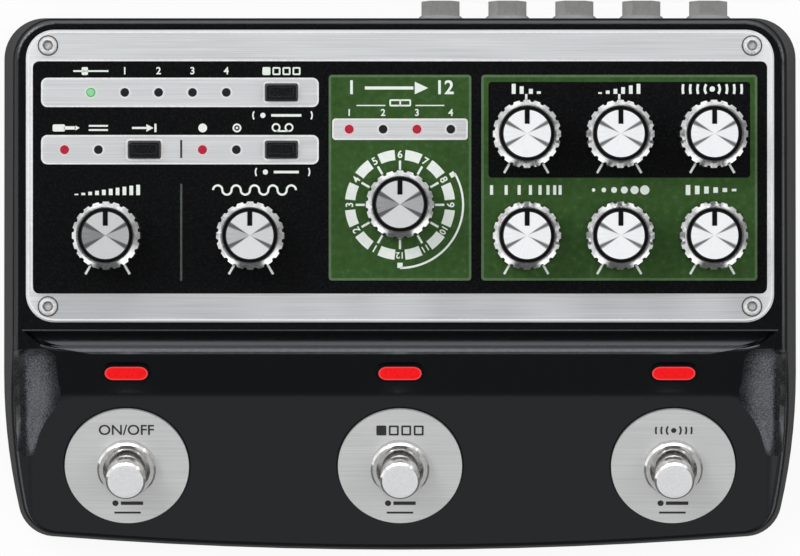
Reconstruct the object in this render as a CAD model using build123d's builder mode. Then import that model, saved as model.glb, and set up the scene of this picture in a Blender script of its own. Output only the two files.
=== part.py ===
from build123d import *

import math
import os

# Tape echo foot pedal with three foot switches, nine knobs and three panel buttons.
# Millimetres and degrees. +X right, +Y to the rear, +Z up, origin on the floor under the middle.

# Case, from the jack tips at the rear to the front edge
JACK_PROUD = 5.1
REAR_RIM = 2.75
PLATE_DEPTH = 70.0
FRONT_RIM = 2.15
GUTTER_WIDTH = 4.55
FACE_RUN = 11.1
DECK_RUN = 37.35
PLATE_WIDTH = 179.0
SIDE_RIM = 3.0
FOOT_HEIGHT = 2.0
PANEL_HEIGHT = 39.0
PANEL_TILT = 1.0
DECK_TILT = 23.3
FACE_RISE = 15.0
CREASE_DROP = 10.4
SIDE_DRAFT = 6.6
REAR_DRAFT = 3.2
FRONT_DRAFT = 4.0
CASE_WALL = 2.4
REAR_CORNER = 10.0
FRONT_CORNER = 9.0
FRONT_BOW = 3.8
FRONT_PINCH = 5.4
DECK_CORNER = 11.0
DECK_MARGIN = 7.88
CREASE_FILLET = 8.0
EDGE_FILLET = 1.5
GUTTER_DEPTH = 3.5
GUTTER_END = 2.4
GUTTER_SWEEP = 10.0
GUTTER_MID = 0.35
GUTTER_RISE = 1.0
GUTTER_FLARE = 0.2
GUTTER_PINCH = 1.2
GUTTER_REAR_SHARE = 0.33
GUTTER_FILLET = 0.6
RIDGE_WALL = 0.5
LOFT_MARGIN = 8.0
TAPER_MARGIN = 6.0
UPRIGHT = 0.5
POST_RADIUS = 3.2
POST_INSET = 8.18
POST_REAR = 15.4
POST_MIDDLE = 69.4
POST_FRONT = 14.5
POST_FRONT_INSET = 18.78

# Base
BASE_THICK = 1.2
BASE_CLEAR = 0.3
FOOT_RADIUS = 7.0
FOOT_SIDE_INSET = 28.78
FOOT_END_INSET = 20.5
FOOT_CHAMFER = 0.5

# Fasteners
SCREW_RADIUS = 1.45
SCREW_CLEAR = 0.05
SCREW_HEAD = 2.25
SCREW_HEAD_HEIGHT = 1.3
SCREW_HEAD_TOP = 1.4
SCREW_SHOULDER = 1.9
SCREW_SHOULDER_HEIGHT = 0.8
SCREW_LENGTH = 7.0
SCREW_SOCKET = 1.1
SCREW_SOCKET_DEPTH = 0.9
COUNTERSINK = 2.9
CROSS_LENGTH = 2.9
CROSS_WIDTH = 0.8
CROSS_DEPTH = 0.8

# Control plate and its printed areas
PLATE_THICK = 1.5
PLATE_PROUD = 0.8
PLATE_CORNER = 6.8
PLATE_BEVEL = 0.4
PLATE_CLEAR = 0.25
PLATE_SCREW_X = 5.3
PLATE_SCREW_V = 3.8
OVERLAY_SIDE = 1.65
OVERLAY_END = 7.55
OVERLAY_CORNER = 1.5
OVERLAY_THICK = 0.3
POCKET_DEPTH = 0.35
PRINT_CLEAR = 0.05
PRINT_THICK = 0.12
LEDGE_SIDE = 6.5
LEDGE_END = 8.5
LEDGE_CORNER = 4.0
STRIP_MARGIN = 2.0
STRIP_DEPTH = 7.0
STRIP_CORNER = 1.5
UPPER_STRIP_DROP = 7.45
LOWER_STRIP_DROP = 21.15
MODE_AREA_WIDTH = 34.1
AREA_MARGIN = 5.7
AREA_CORNER = 0.8
AREA_SHIFT = -0.4
AREA_GAP = 2.4
HEAD_STRIP_DROP = 16.25
HEAD_STRIP_DEPTH = 5.1
HEAD_STRIP_INSET = 0.85
TONE_INSET = 1.7

# Knobs and their potentiometers
KNOB_RADIUS = 8.3
KNOB_LIP_RADIUS = 7.05
KNOB_SKIRT_TOP = 10.2
KNOB_SKIRT_TOP_RADIUS = 8.1
KNOB_SHOULDER = 40.0
KNOB_TOP = 12.6
KNOB_LIFT = 0.6
KNOB_TEETH = 20
KNOB_TOOTH_SHARE = 0.55
KNOB_GROOVE_DEPTH = 0.45
KNOB_CHAMFER = 0.3
KNOB_RECESS_RADIUS = 6.5
KNOB_RECESS_DEPTH = 0.8
CAP_RADIUS = 5.85
CAP_THICK = 1.0
CAP_CHAMFER = 0.15
CAP_SLOT_WIDTH = 1.15
CAP_SLOT_START = 2.3
SHAFT_RADIUS = 3.0
SHAFT_CLEAR = 0.05
SHAFT_TOP = 9.6
SHAFT_DEPTH = 4.8
SHAFT_FLOAT = 0.3
BUSH_RADIUS = 3.6
BUSH_CLEAR = 0.15
BUSH_PROUD = 0.2
POT_WIDTH = 9.6
POT_LENGTH = 10.6
POT_HEIGHT = 6.6
POT_CORNER = 0.7
SELECTOR_RADIUS = 8.5
KNOB_PITCH = 22.25
UPPER_KNOB_DROP = 17.55
LOWER_KNOB_RISE = 13.15
MODE_KNOB_RISE = 20.55
SATURATION_OFFSET = 15.9
FLUTTER_OFFSET = 16.2

# Panel buttons and indicator lamps
BUTTON_WIDTH = 7.7
BUTTON_DEPTH = 4.1
BUTTON_CORNER = 0.7
BUTTON_PROUD = 1.3
BUTTON_FILLET = 0.4
BUTTON_CLEAR = 0.3
BUTTON_GAP = 0.05
BUTTON_FLANGE = 0.9
BUTTON_FLANGE_THICK = 1.0
BUTTON_STEM = 1.5
BUTTON_TRAVEL = 0.5
BUTTON_END_GAP = 0.3
TACT_WIDTH = 6.0
TACT_HEIGHT = 4.0
TACT_WELL = 2.6
TACT_CLEAR = 0.08
RIGHT_BUTTON_OFFSET = 8.9
INPUT_BUTTON_OFFSET = 24.7
LED_RADIUS = 0.95
LED_BASE_RADIUS = 1.6
LED_BASE_HEIGHT = 3.2
LED_PROUD = 0.15
LED_CLEAR = 0.1
LED_PITCH = 8.1
UPPER_LED_OFFSET = 11.9
LOWER_LED_OFFSET = 5.6
TAPE_LED_OFFSET = 5.4

# Boards
BOARD_THICK = 1.6
CONTROL_BOARD_INSET = 5.5
CONTROL_BOARD_MARGIN = 6.9
SPACER_FLAT = 5.0
SPACER_HOLE = 1.3
SPACER_INSET = 6.3
RIBBON_THICK = 0.6
RIBBON_WIDTH = 18.0
RIBBON_BEND = 2.6
RIBBON_GAP = 0.02
REAR_RIBBON_X = -46.0
REAR_RIBBON_TOP_V = 4.0
REAR_RIBBON_FOOT_V = 7.0
REAR_RIBBON_MIDDLE = 7.0
FRONT_RIBBON_V = -21.6
FRONT_RIBBON_DROP = 9.0

# Indicator bars on the sloped face above the deck
LENS_WIDTH = 10.7
LENS_HEIGHT = 4.5
LENS_UP = 7.3
LENS_PITCH = 65.7
LENS_PROUD = 0.5
LENS_CLEAR = 0.12
LENS_FLANGE = 0.9
LENS_FLANGE_GAP = 0.1
LENS_FILLET = 0.3
LAMP_BOARD_DROP = 5.2
LAMP_BOARD_DEPTH = 8.6
LAMP_BOARD_OVERHANG = 10.0
LAMP_BOSS_RADIUS = 2.6

# Foot switches
FOOT_SWITCH_PITCH = 66.0
FOOT_SWITCH_SETBACK = 18.2
DISC_RADIUS = 15.0
DISC_THICK = 0.8
BARREL_RADIUS = 6.0
BARREL_CLEAR = 0.15
BARREL_DEPTH = 5.0
COLLAR_RADIUS = 7.1
COLLAR_HEIGHT = 2.4
COLLAR_BEVEL = 0.5
COLLAR_MOUTH = 5.7
COLLAR_MOUTH_DEPTH = 1.8
PLUNGER_RADIUS = 4.2
PLUNGER_CLEAR = 0.06
PLUNGER_CAP_RADIUS = 4.8
PLUNGER_CAP_HEIGHT = 3.4
PLUNGER_CHAMFER = 0.5
PLUNGER_TOP = 9.8
PLUNGER_RING_RADIUS = 4.6
PLUNGER_RING_DROP = 1.2
PLUNGER_RING_HEIGHT = 0.6
PLUNGER_FLANGE_RADIUS = 5.0
PLUNGER_FLANGE_HEIGHT = 1.6
PLUNGER_FLANGE_GAP = 0.2
SWITCH_WIDTH = 13.6
SWITCH_HEIGHT = 9.0
SWITCH_CORNER = 0.8
SWITCH_WELL_RADIUS = 5.4
SWITCH_WELL_DEPTH = 4.5
FOOT_NUT_FLAT = 15.0
FOOT_NUT_THICK = 2.0
THREAD_CLEAR = 0.05

# Sockets on the rear wall
JACK_COUNT = 5
JACK_INSET = 22.18
JACK_PITCH = 16.2
JACK_HEIGHT = 20.0
JACK_BORE = 3.25
JACK_SLEEVE = 4.45
JACK_SLEEVE_CLEAR = 0.15
JACK_BODY_WIDTH = 14.4
JACK_BODY_HEIGHT = 12.4
JACK_BODY_LENGTH = 24.0
JACK_BACK_WALL = 1.5
NUT_FLANGE_RADIUS = 6.4
NUT_FLANGE_TOP = 4.9
NUT_FLANGE_THICK = 1.5
NUT_HEX_FLAT = 8.0
NUT_COUNTERBORE = 1.25
JACK_SLEEVE_PROUD = 1.2
MIDI_COUNT = 2
MIDI_FIRST = 8.5
MIDI_PITCH = 14.0
MIDI_BORE = 1.8
MIDI_SNOUT = 3.0
MIDI_WIDTH = 8.4
MIDI_HEIGHT = 6.8
MIDI_LENGTH = 14.0
MIDI_DEPTH = 12.5
SNOUT_RECESS = 0.4
USB_INSET = 54.78
USB_WIDTH = 9.0
USB_HEIGHT = 3.3
USB_LENGTH = 7.6
USB_SHELL = 0.35
USB_BACK = 1.0
USB_TONGUE_WIDTH = 6.6
USB_TONGUE_THICK = 0.7
USB_TONGUE_LENGTH = 5.0
USB_MOUTH_WIDTH = 9.8
USB_MOUTH_HEIGHT = 4.1
DC_INSET = 30.78
DC_BORE = 2.9
DC_PIN = 1.0
DC_SNOUT = 4.2
DC_WIDTH = 9.4
DC_HEIGHT = 11.4
DC_LENGTH = 13.0
DC_DEPTH = 9.5
DC_PIN_LENGTH = 8.5
SOCKET_CLEAR = 0.2
SOCKET_PANEL_INSET = 13.5
SOCKET_PANEL_MARGIN = 1.4
SOCKET_PANEL_CORNER = 2.0
JACK_BOARD_INSET = 16.78
JACK_BOARD_DEPTH = 34.0
JACK_BOARD_GAP = 0.6
STUD_RADIUS = 2.6
STUD_INSET = 4.0

# Worked-out places
DEPTH = JACK_PROUD + REAR_RIM + PLATE_DEPTH + FRONT_RIM + GUTTER_WIDTH + FACE_RUN + DECK_RUN
REAR_Y = DEPTH / 2 - JACK_PROUD
FRONT_Y = -DEPTH / 2
PLATE_V = PLATE_DEPTH / 2
LIP_V = -PLATE_V - FRONT_RIM
RIDGE_V = LIP_V - GUTTER_WIDTH
CREASE_V = RIDGE_V - FACE_RUN
SIDE_SLOPE = math.tan(math.radians(SIDE_DRAFT))
REAR_SLOPE = math.tan(math.radians(REAR_DRAFT))
FRONT_SLOPE = math.tan(math.radians(FRONT_DRAFT))
CASE_HALF = PLATE_WIDTH / 2 + SIDE_RIM + SIDE_SLOPE * (PANEL_HEIGHT - FOOT_HEIGHT)
LOFT_TOP = PANEL_HEIGHT + LOFT_MARGIN
TAPER_Y = FRONT_Y + DECK_RUN + TAPER_MARGIN
FAR = 3 * PLATE_WIDTH


def tilted(origin, angle):
    """A plane through a point, turned about X so that it faces up and to the front."""
    lean = math.radians(angle)
    return Plane(origin=origin, x_dir=(1, 0, 0), z_dir=(0, -math.sin(lean), math.cos(lean)))


def moved(plane, x, y, z=0.0):
    """The same plane with its origin at local x, y, z."""
    spot = plane.from_local_coords(Vector(x, y, z))
    return Plane(origin=spot, x_dir=plane.x_dir, z_dir=plane.z_dir)


def upright(plane):
    """The plane through the local X and Z axes of another, for turned profiles."""
    return Plane(origin=plane.origin, x_dir=plane.x_dir, z_dir=-plane.y_dir)


def spindle(plane):
    """The local Z axis of a plane."""
    return Axis(plane.origin, plane.z_dir)


def save(piece, name):
    piece.part.label = name
    export_step(piece.part, f"parts/{name}.step")


PANEL = tilted((0, REAR_Y - REAR_RIM - PLATE_V, PANEL_HEIGHT), PANEL_TILT)
DECK = tilted(PANEL.from_local_coords(Vector(0, CREASE_V, -CREASE_DROP)), DECK_TILT)
FACE = tilted(DECK.origin, DECK_TILT + FACE_RISE)
FOOT_ROW = moved(DECK, 0, -FOOT_SWITCH_SETBACK)
LENS_ROW = moved(FACE, 0, LENS_UP)
REAR = Plane(origin=(0, REAR_Y, JACK_HEIGHT), x_dir=(-1, 0, 0), z_dir=(0, 1, 0))
PROFILE = Plane(origin=PANEL.origin, x_dir=PANEL.y_dir, z_dir=(1, 0, 0))

# Layout of the panel, in panel coordinates
OVERLAY_WIDTH = PLATE_WIDTH - 2 * OVERLAY_SIDE
OVERLAY_DEPTH = PLATE_DEPTH - 2 * OVERLAY_END
OVERLAY_V = OVERLAY_DEPTH / 2
AREA_DEPTH = OVERLAY_DEPTH - AREA_MARGIN
UPPER_STRIP_V = OVERLAY_V - UPPER_STRIP_DROP
LOWER_STRIP_V = OVERLAY_V - LOWER_STRIP_DROP
HEAD_STRIP_V = OVERLAY_V - HEAD_STRIP_DROP
UPPER_KNOB_V = OVERLAY_V - UPPER_KNOB_DROP
LOWER_KNOB_V = LOWER_KNOB_RISE - OVERLAY_V
MODE_KNOB_V = MODE_KNOB_RISE - OVERLAY_V
STRIP_LEFT = -OVERLAY_WIDTH / 2 + STRIP_MARGIN
STRIP_RIGHT = -MODE_AREA_WIDTH / 2 - AREA_GAP
STRIP_WIDTH = STRIP_RIGHT - STRIP_LEFT
STRIP_X = (STRIP_LEFT + STRIP_RIGHT) / 2
TONE_LEFT = MODE_AREA_WIDTH / 2 + AREA_GAP
TONE_RIGHT = OVERLAY_WIDTH / 2 - AREA_GAP
TONE_X = (TONE_LEFT + TONE_RIGHT) / 2
TONE_WIDTH = TONE_RIGHT - TONE_LEFT
TONE_INSET_DEPTH = AREA_DEPTH / 2 - TONE_INSET
TONE_INSET_V = AREA_SHIFT + TONE_INSET_DEPTH / 2
KNOBS = {
    "saturation": (STRIP_LEFT + SATURATION_OFFSET, LOWER_KNOB_V),
    "flutter": (STRIP_RIGHT - FLUTTER_OFFSET, LOWER_KNOB_V),
    "mode": (0.0, MODE_KNOB_V),
    "bass": (TONE_X - KNOB_PITCH, UPPER_KNOB_V),
    "treble": (TONE_X, UPPER_KNOB_V),
    "reverb": (TONE_X + KNOB_PITCH, UPPER_KNOB_V),
    "repeat_rate": (TONE_X - KNOB_PITCH, LOWER_KNOB_V),
    "intensity": (TONE_X, LOWER_KNOB_V),
    "echo": (TONE_X + KNOB_PITCH, LOWER_KNOB_V),
}
POTS = [spot for name, spot in KNOBS.items() if name != "mode"]
BUTTONS = {
    "memory_button": (STRIP_RIGHT - RIGHT_BUTTON_OFFSET, UPPER_STRIP_V),
    "input_button": (STRIP_LEFT + INPUT_BUTTON_OFFSET, LOWER_STRIP_V),
    "tape_button": (STRIP_RIGHT - RIGHT_BUTTON_OFFSET, LOWER_STRIP_V),
}
LEDS = [(STRIP_LEFT + UPPER_LED_OFFSET + i * LED_PITCH, UPPER_STRIP_V) for i in range(5)]
LEDS += [(STRIP_LEFT + LOWER_LED_OFFSET + i * LED_PITCH, LOWER_STRIP_V) for i in range(2)]
LEDS += [(STRIP_X + TAPE_LED_OFFSET + i * LED_PITCH, LOWER_STRIP_V) for i in range(2)]
LEDS += [((i - 1.5) * LED_PITCH, HEAD_STRIP_V) for i in range(4)]
PLATE_SCREW_SPOTS = [
    (side * (PLATE_WIDTH / 2 - PLATE_SCREW_X), end * (PLATE_V - PLATE_SCREW_V))
    for side in (-1, 1)
    for end in (-1, 1)
]
BOARD_TOP = -PLATE_THICK - POT_HEIGHT
BOARD_BASE = BOARD_TOP - BOARD_THICK
HEAD_STRIP_WIDTH = MODE_AREA_WIDTH - 2 * HEAD_STRIP_INSET
SPACERS = [
    (STRIP_LEFT + SPACER_INSET, UPPER_STRIP_V),
    (STRIP_X, (UPPER_STRIP_V + LOWER_STRIP_V) / 2),
    (STRIP_X, LOWER_KNOB_V),
    (TONE_X - KNOB_PITCH / 2, (UPPER_KNOB_V + LOWER_KNOB_V) / 2),
    (TONE_X + KNOB_PITCH / 2, (UPPER_KNOB_V + LOWER_KNOB_V) / 2),
]

# Layout of the base and the rear wall
POST_X = CASE_HALF - POST_INSET
POSTS = [(side * POST_X, REAR_Y - POST_REAR) for side in (-1, 1)]
POSTS += [(side * POST_X, REAR_Y - POST_MIDDLE) for side in (-1, 1)]
POSTS += [(side * (CASE_HALF - POST_FRONT_INSET), FRONT_Y + POST_FRONT) for side in (-1, 1)]
BASE_TOP = FOOT_HEIGHT + BASE_THICK
JACKS = [CASE_HALF - JACK_INSET - i * JACK_PITCH for i in range(JACK_COUNT)]
MIDI_JACKS = [-MIDI_FIRST - i * MIDI_PITCH for i in range(MIDI_COUNT)]
USB_X = CASE_HALF - USB_INSET
DC_X = CASE_HALF - DC_INSET
JACK_BOARD_TOP = JACK_HEIGHT - JACK_BODY_HEIGHT / 2
JACK_BOARD_WIDTH = 2 * (CASE_HALF - JACK_BOARD_INSET)
JACK_BOARD_Y = REAR_Y - CASE_WALL - JACK_BOARD_GAP - JACK_BOARD_DEPTH / 2
MIDI_DROP = JACK_BOARD_TOP + MIDI_HEIGHT / 2 - JACK_HEIGHT
USB_DROP = JACK_BOARD_TOP + USB_HEIGHT / 2 - JACK_HEIGHT
DC_DROP = JACK_BOARD_TOP + DC_HEIGHT / 2 - JACK_HEIGHT
STUD_X = JACK_BOARD_WIDTH / 2 - STUD_INSET
STUD_V = JACK_BOARD_DEPTH / 2 - STUD_INSET
STUDS = [(side * STUD_X, JACK_BOARD_Y + end * STUD_V) for side in (-1, 1) for end in (-1, 1)]
FEET_X = CASE_HALF - FOOT_SIDE_INSET
FEET_Y = DEPTH / 2 - FOOT_END_INSET
FEET = [(side * FEET_X, end * FEET_Y) for side in (-1, 1) for end in (-1, 1)]
FOOT_SWITCHES = {"left": -FOOT_SWITCH_PITCH, "centre": 0.0, "right": FOOT_SWITCH_PITCH}
LENSES = [-LENS_PITCH, 0.0, LENS_PITCH]
LAMP_BOSSES = [-LENS_PITCH / 2, LENS_PITCH / 2]

os.makedirs("parts", exist_ok=True)


def case_outline(height, wall, rear_slope=0.0):
    """The case seen from above at one height, drawn in by a wall; the rear may lean out below the panel."""
    rise = height - FOOT_HEIGHT
    half = CASE_HALF - rise * SIDE_SLOPE - wall
    rear = REAR_Y + rear_slope * (PANEL_HEIGHT - height) - wall
    front = FRONT_Y + rise * FRONT_SLOPE + wall
    corner_x = half - FRONT_PINCH
    corner_y = front + FRONT_BOW
    with BuildSketch(Plane.XY.offset(height)) as outline:
        with BuildLine():
            Line((-half, TAPER_Y), (-half, rear))
            Line((-half, rear), (half, rear))
            Line((half, rear), (half, TAPER_Y))
            TangentArc((half, TAPER_Y), (corner_x, corner_y), tangent=(0, -1))
            ThreePointArc((corner_x, corner_y), (0, front), (-corner_x, corner_y))
            TangentArc((-half, TAPER_Y), (-corner_x, corner_y), tangent=(0, -1))
        make_face()
        fillet(outline.vertices().group_by(Axis.Y)[-1], REAR_CORNER - wall)
        fillet(outline.vertices().group_by(Axis.Y)[0], FRONT_CORNER - wall)
    return outline.sketch


def deck_outline(lift, grow):
    """The deck floor's outline, open to the front, grown outwards and lifted off the deck."""
    half = CASE_HALF - DECK_MARGIN + grow
    with BuildSketch(DECK.offset(lift)) as outline:
        with BuildLine():
            Polyline((-half, -FAR), (half, -FAR), (half, grow), (-half, grow), close=True)
        make_face()
        fillet(outline.vertices().group_by(Axis.Y)[-1], DECK_CORNER + grow)
    return outline.sketch


def scooped_deck(lift):
    """The space above the deck: a flat floor whose rear and sides rise at a low angle."""
    height = 2 * PANEL_HEIGHT
    spread = height / math.tan(math.radians(FACE_RISE))
    with BuildPart() as scoop:
        loft([deck_outline(lift, 0.0), deck_outline(lift + height, spread)], ruled=True)
        floor = scoop.faces().sort_by(spindle(DECK))[0]
        fillet(floor.edges().sort_by(spindle(Plane.XY.offset(0)))[1:], CREASE_FILLET)
    return scoop.part


def gutter_outline(depth, pinch):
    """The groove between the control panel and the deck, with its front corners swept back."""
    half = PLATE_WIDTH / 2 + SIDE_RIM - GUTTER_END - pinch
    rear = LIP_V - pinch * GUTTER_REAR_SHARE
    front = RIDGE_V + pinch
    corner = half - GUTTER_SWEEP
    bend_x = half - GUTTER_SWEEP * GUTTER_MID
    bend_v = front + (rear - front) * GUTTER_MID
    with BuildSketch(PANEL.offset(-depth)) as outline:
        with BuildLine():
            Line((-half, rear), (half, rear))
            ThreePointArc((half, rear), (bend_x, bend_v), (corner, front))
            Line((corner, front), (-corner, front))
            ThreePointArc((-corner, front), (-bend_x, bend_v), (-half, rear))
        make_face()
    return outline.sketch


def on_gutter_rim(edge):
    """Whether an edge of the groove lies along its mouth and not down its walls or floor."""
    return all(PANEL.to_local_coords(corner.center()).Z > -GUTTER_DEPTH for corner in edge.vertices())


with BuildPart() as cavity:
    loft([case_outline(FOOT_HEIGHT, CASE_WALL), case_outline(LOFT_TOP, CASE_WALL)], ruled=True)
    roof = -PLATE_PROUD - CASE_WALL
    groove_floor = roof - GUTTER_DEPTH
    with BuildSketch(PROFILE):
        with BuildLine():
            Polyline(
                (FAR, roof),
                (LIP_V + CASE_WALL, roof),
                (LIP_V + CASE_WALL, groove_floor),
                (RIDGE_V - RIDGE_WALL, groove_floor),
                (RIDGE_V - RIDGE_WALL, FAR),
                (FAR, FAR),
                close=True,
            )
        make_face()
    extrude(amount=FAR, both=True, mode=Mode.SUBTRACT)
    add(scooped_deck(-CASE_WALL), mode=Mode.SUBTRACT)
    with BuildSketch(Plane.XY.offset(BASE_TOP)):
        with Locations(*POSTS):
            Circle(POST_RADIUS)
    extrude(amount=FAR, mode=Mode.SUBTRACT)
    with BuildSketch(PANEL.offset(-PLATE_THICK - SCREW_LENGTH)):
        with Locations(*PLATE_SCREW_SPOTS):
            Circle(POST_RADIUS)
    extrude(amount=FAR, mode=Mode.SUBTRACT)
    with BuildSketch(LENS_ROW.offset(-LAMP_BOARD_DROP)):
        with Locations(*[(x, 0) for x in LAMP_BOSSES]):
            Circle(LAMP_BOSS_RADIUS)
    extrude(amount=LAMP_BOARD_DROP, mode=Mode.SUBTRACT)

with BuildPart() as case:
    loft([case_outline(FOOT_HEIGHT, 0.0, REAR_SLOPE), case_outline(LOFT_TOP, 0.0, REAR_SLOPE)], ruled=True)
    with BuildSketch(PANEL.offset(-PLATE_PROUD)):
        Rectangle(FAR, FAR)
    extrude(amount=FAR, mode=Mode.SUBTRACT)
    add(scooped_deck(0.0), mode=Mode.SUBTRACT)
    walls = case.faces().filter_by(lambda face: abs(face.normal_at().Z) < UPRIGHT)
    tops = case.faces().filter_by(lambda face: face.normal_at().Z > UPRIGHT)
    fillet([edge for edge in tops.edges() if edge in walls.edges()], EDGE_FILLET)
    gutter_mouth = gutter_outline(-GUTTER_RISE, -GUTTER_FLARE)
    gutter_floor = gutter_outline(PLATE_PROUD + GUTTER_DEPTH, GUTTER_PINCH)
    loft([gutter_mouth, gutter_floor], ruled=True, mode=Mode.SUBTRACT)
    lip_and_ridge = case.edges(Select.LAST).filter_by(on_gutter_rim).sort_by(SortBy.LENGTH)[-2:]
    fillet(lip_and_ridge, GUTTER_FILLET)
    add(cavity.part, mode=Mode.SUBTRACT)
    with BuildSketch(PANEL.offset(-PLATE_THICK)):
        pocket_width = PLATE_WIDTH + 2 * PLATE_CLEAR
        pocket_depth = PLATE_DEPTH + 2 * PLATE_CLEAR
        RectangleRounded(pocket_width, pocket_depth, PLATE_CORNER + PLATE_CLEAR)
    extrude(amount=PLATE_THICK, mode=Mode.SUBTRACT)
    with BuildSketch(PANEL.offset(-PLATE_THICK)):
        RectangleRounded(PLATE_WIDTH - 2 * LEDGE_SIDE, PLATE_DEPTH - 2 * LEDGE_END, LEDGE_CORNER)
        with Locations(*PLATE_SCREW_SPOTS):
            Circle(SCREW_RADIUS + SCREW_CLEAR)
    extrude(amount=-SCREW_LENGTH, mode=Mode.SUBTRACT)
    with BuildSketch(FOOT_ROW.offset(DISC_THICK)):
        with Locations(*[(x, 0) for x in FOOT_SWITCHES.values()]):
            Circle(BARREL_RADIUS + BARREL_CLEAR)
    extrude(amount=-2 * CASE_WALL, mode=Mode.SUBTRACT)
    with BuildSketch(LENS_ROW.offset(LENS_PROUD)):
        with Locations(*[(x, 0) for x in LENSES]):
            SlotOverall(LENS_WIDTH + 2 * LENS_CLEAR, LENS_HEIGHT + 2 * LENS_CLEAR)
    extrude(amount=-2 * CASE_WALL, mode=Mode.SUBTRACT)
    with BuildSketch(REAR):
        socket_panel_width = 2 * (CASE_HALF - SOCKET_PANEL_INSET)
        socket_panel_height = 2 * (NUT_FLANGE_RADIUS + SOCKET_PANEL_MARGIN)
        RectangleRounded(socket_panel_width, socket_panel_height, SOCKET_PANEL_CORNER)
    extrude(amount=JACK_PROUD, mode=Mode.SUBTRACT)
    with BuildSketch(REAR):
        with Locations(*[(-x, 0) for x in JACKS]):
            Circle(JACK_SLEEVE + JACK_SLEEVE_CLEAR)
        with Locations(*[(-x, MIDI_DROP) for x in MIDI_JACKS]):
            Circle(MIDI_SNOUT + SOCKET_CLEAR)
        with Locations((DC_X, DC_DROP)):
            Circle(DC_SNOUT + SOCKET_CLEAR)
        with Locations((USB_X, USB_DROP)):
            SlotOverall(USB_MOUTH_WIDTH, USB_MOUTH_HEIGHT)
    extrude(amount=-2 * CASE_WALL, mode=Mode.SUBTRACT)
    with BuildSketch(Plane.XY.offset(BASE_TOP)):
        with Locations(*POSTS):
            Circle(SCREW_RADIUS + SCREW_CLEAR)
    extrude(amount=SCREW_LENGTH, mode=Mode.SUBTRACT)
save(case, "case")

# Base plate with pressed studs for the socket board, its screws and the rubber feet
with BuildPart() as base_plate:
    with BuildSketch(Plane.XY.offset(FOOT_HEIGHT)):
        add(case_outline(FOOT_HEIGHT, CASE_WALL + BASE_CLEAR))
    extrude(amount=BASE_THICK)
    with Locations(*[(x, y, FOOT_HEIGHT) for x, y in POSTS]):
        Cone(
            COUNTERSINK,
            SCREW_RADIUS + SCREW_CLEAR,
            BASE_THICK,
            align=(Align.CENTER, Align.CENTER, Align.MIN),
            mode=Mode.SUBTRACT,
        )
    with BuildSketch(Plane.XY.offset(BASE_TOP)):
        with Locations(*STUDS):
            Circle(STUD_RADIUS)
    extrude(amount=JACK_BOARD_TOP - BOARD_THICK - BASE_TOP)
save(base_plate, "base_plate")

with BuildPart() as base_screws:
    for x, y in POSTS:
        seat = Plane(origin=(x, y, FOOT_HEIGHT), z_dir=(0, 0, 1))
        with BuildSketch(upright(seat)):
            with BuildLine():
                Polyline(
                    (0, 0),
                    (COUNTERSINK - SCREW_CLEAR, 0),
                    (SCREW_RADIUS, BASE_THICK),
                    (SCREW_RADIUS, SCREW_LENGTH),
                    (0, SCREW_LENGTH),
                    close=True,
                )
            make_face()
        revolve(axis=spindle(seat))
        with BuildSketch(seat):
            Rectangle(CROSS_LENGTH, CROSS_WIDTH)
            Rectangle(CROSS_WIDTH, CROSS_LENGTH)
        extrude(amount=CROSS_DEPTH, mode=Mode.SUBTRACT)
save(base_screws, "base_screws")

with BuildPart() as rubber_feet:
    with BuildSketch():
        with Locations(*FEET):
            Circle(FOOT_RADIUS)
    extrude(amount=FOOT_HEIGHT)
    chamfer(rubber_feet.edges().group_by(Axis.Z)[0], FOOT_CHAMFER)
save(rubber_feet, "rubber_feet")


def strips(grow):
    """Takes the bare metal strips, grown outwards, out of a sketch of the black area."""
    depth = STRIP_DEPTH + 2 * grow
    with Locations((STRIP_X, UPPER_STRIP_V), (STRIP_X, LOWER_STRIP_V)):
        RectangleRounded(STRIP_WIDTH + 2 * grow, depth, STRIP_CORNER + grow, mode=Mode.SUBTRACT)
    depth = HEAD_STRIP_DEPTH + 2 * grow
    with Locations((0, HEAD_STRIP_V)):
        RectangleRounded(HEAD_STRIP_WIDTH + 2 * grow, depth, AREA_CORNER + grow, mode=Mode.SUBTRACT)


def panel_holes(mode):
    """Holes for the shaft bushes, the indicator lamps and the buttons."""
    width = BUTTON_WIDTH + 2 * BUTTON_CLEAR
    depth = BUTTON_DEPTH + 2 * BUTTON_CLEAR
    with Locations(*KNOBS.values()):
        Circle(BUSH_RADIUS + BUSH_CLEAR, mode=mode)
    with Locations(*LEDS):
        Circle(LED_RADIUS + LED_CLEAR, mode=mode)
    with Locations(*BUTTONS.values()):
        RectangleRounded(width, depth, BUTTON_CORNER + BUTTON_CLEAR, mode=mode)


# Control plate, its black overlay, the printed green areas and the four screws
with BuildPart() as control_plate:
    with BuildSketch(PANEL.offset(-PLATE_THICK)):
        RectangleRounded(PLATE_WIDTH, PLATE_DEPTH, PLATE_CORNER)
    extrude(amount=PLATE_THICK)
    chamfer(control_plate.faces().sort_by(spindle(PANEL))[-1].edges(), PLATE_BEVEL)
    with BuildSketch(PANEL):
        RectangleRounded(OVERLAY_WIDTH, OVERLAY_DEPTH, OVERLAY_CORNER)
        strips(0.0)
    extrude(amount=-POCKET_DEPTH, mode=Mode.SUBTRACT)
    with BuildSketch(PANEL):
        panel_holes(Mode.ADD)
        with Locations(*PLATE_SCREW_SPOTS):
            Circle(SCREW_RADIUS + BUSH_CLEAR)
    extrude(amount=-PLATE_THICK, mode=Mode.SUBTRACT)
save(control_plate, "control_plate")

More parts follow.
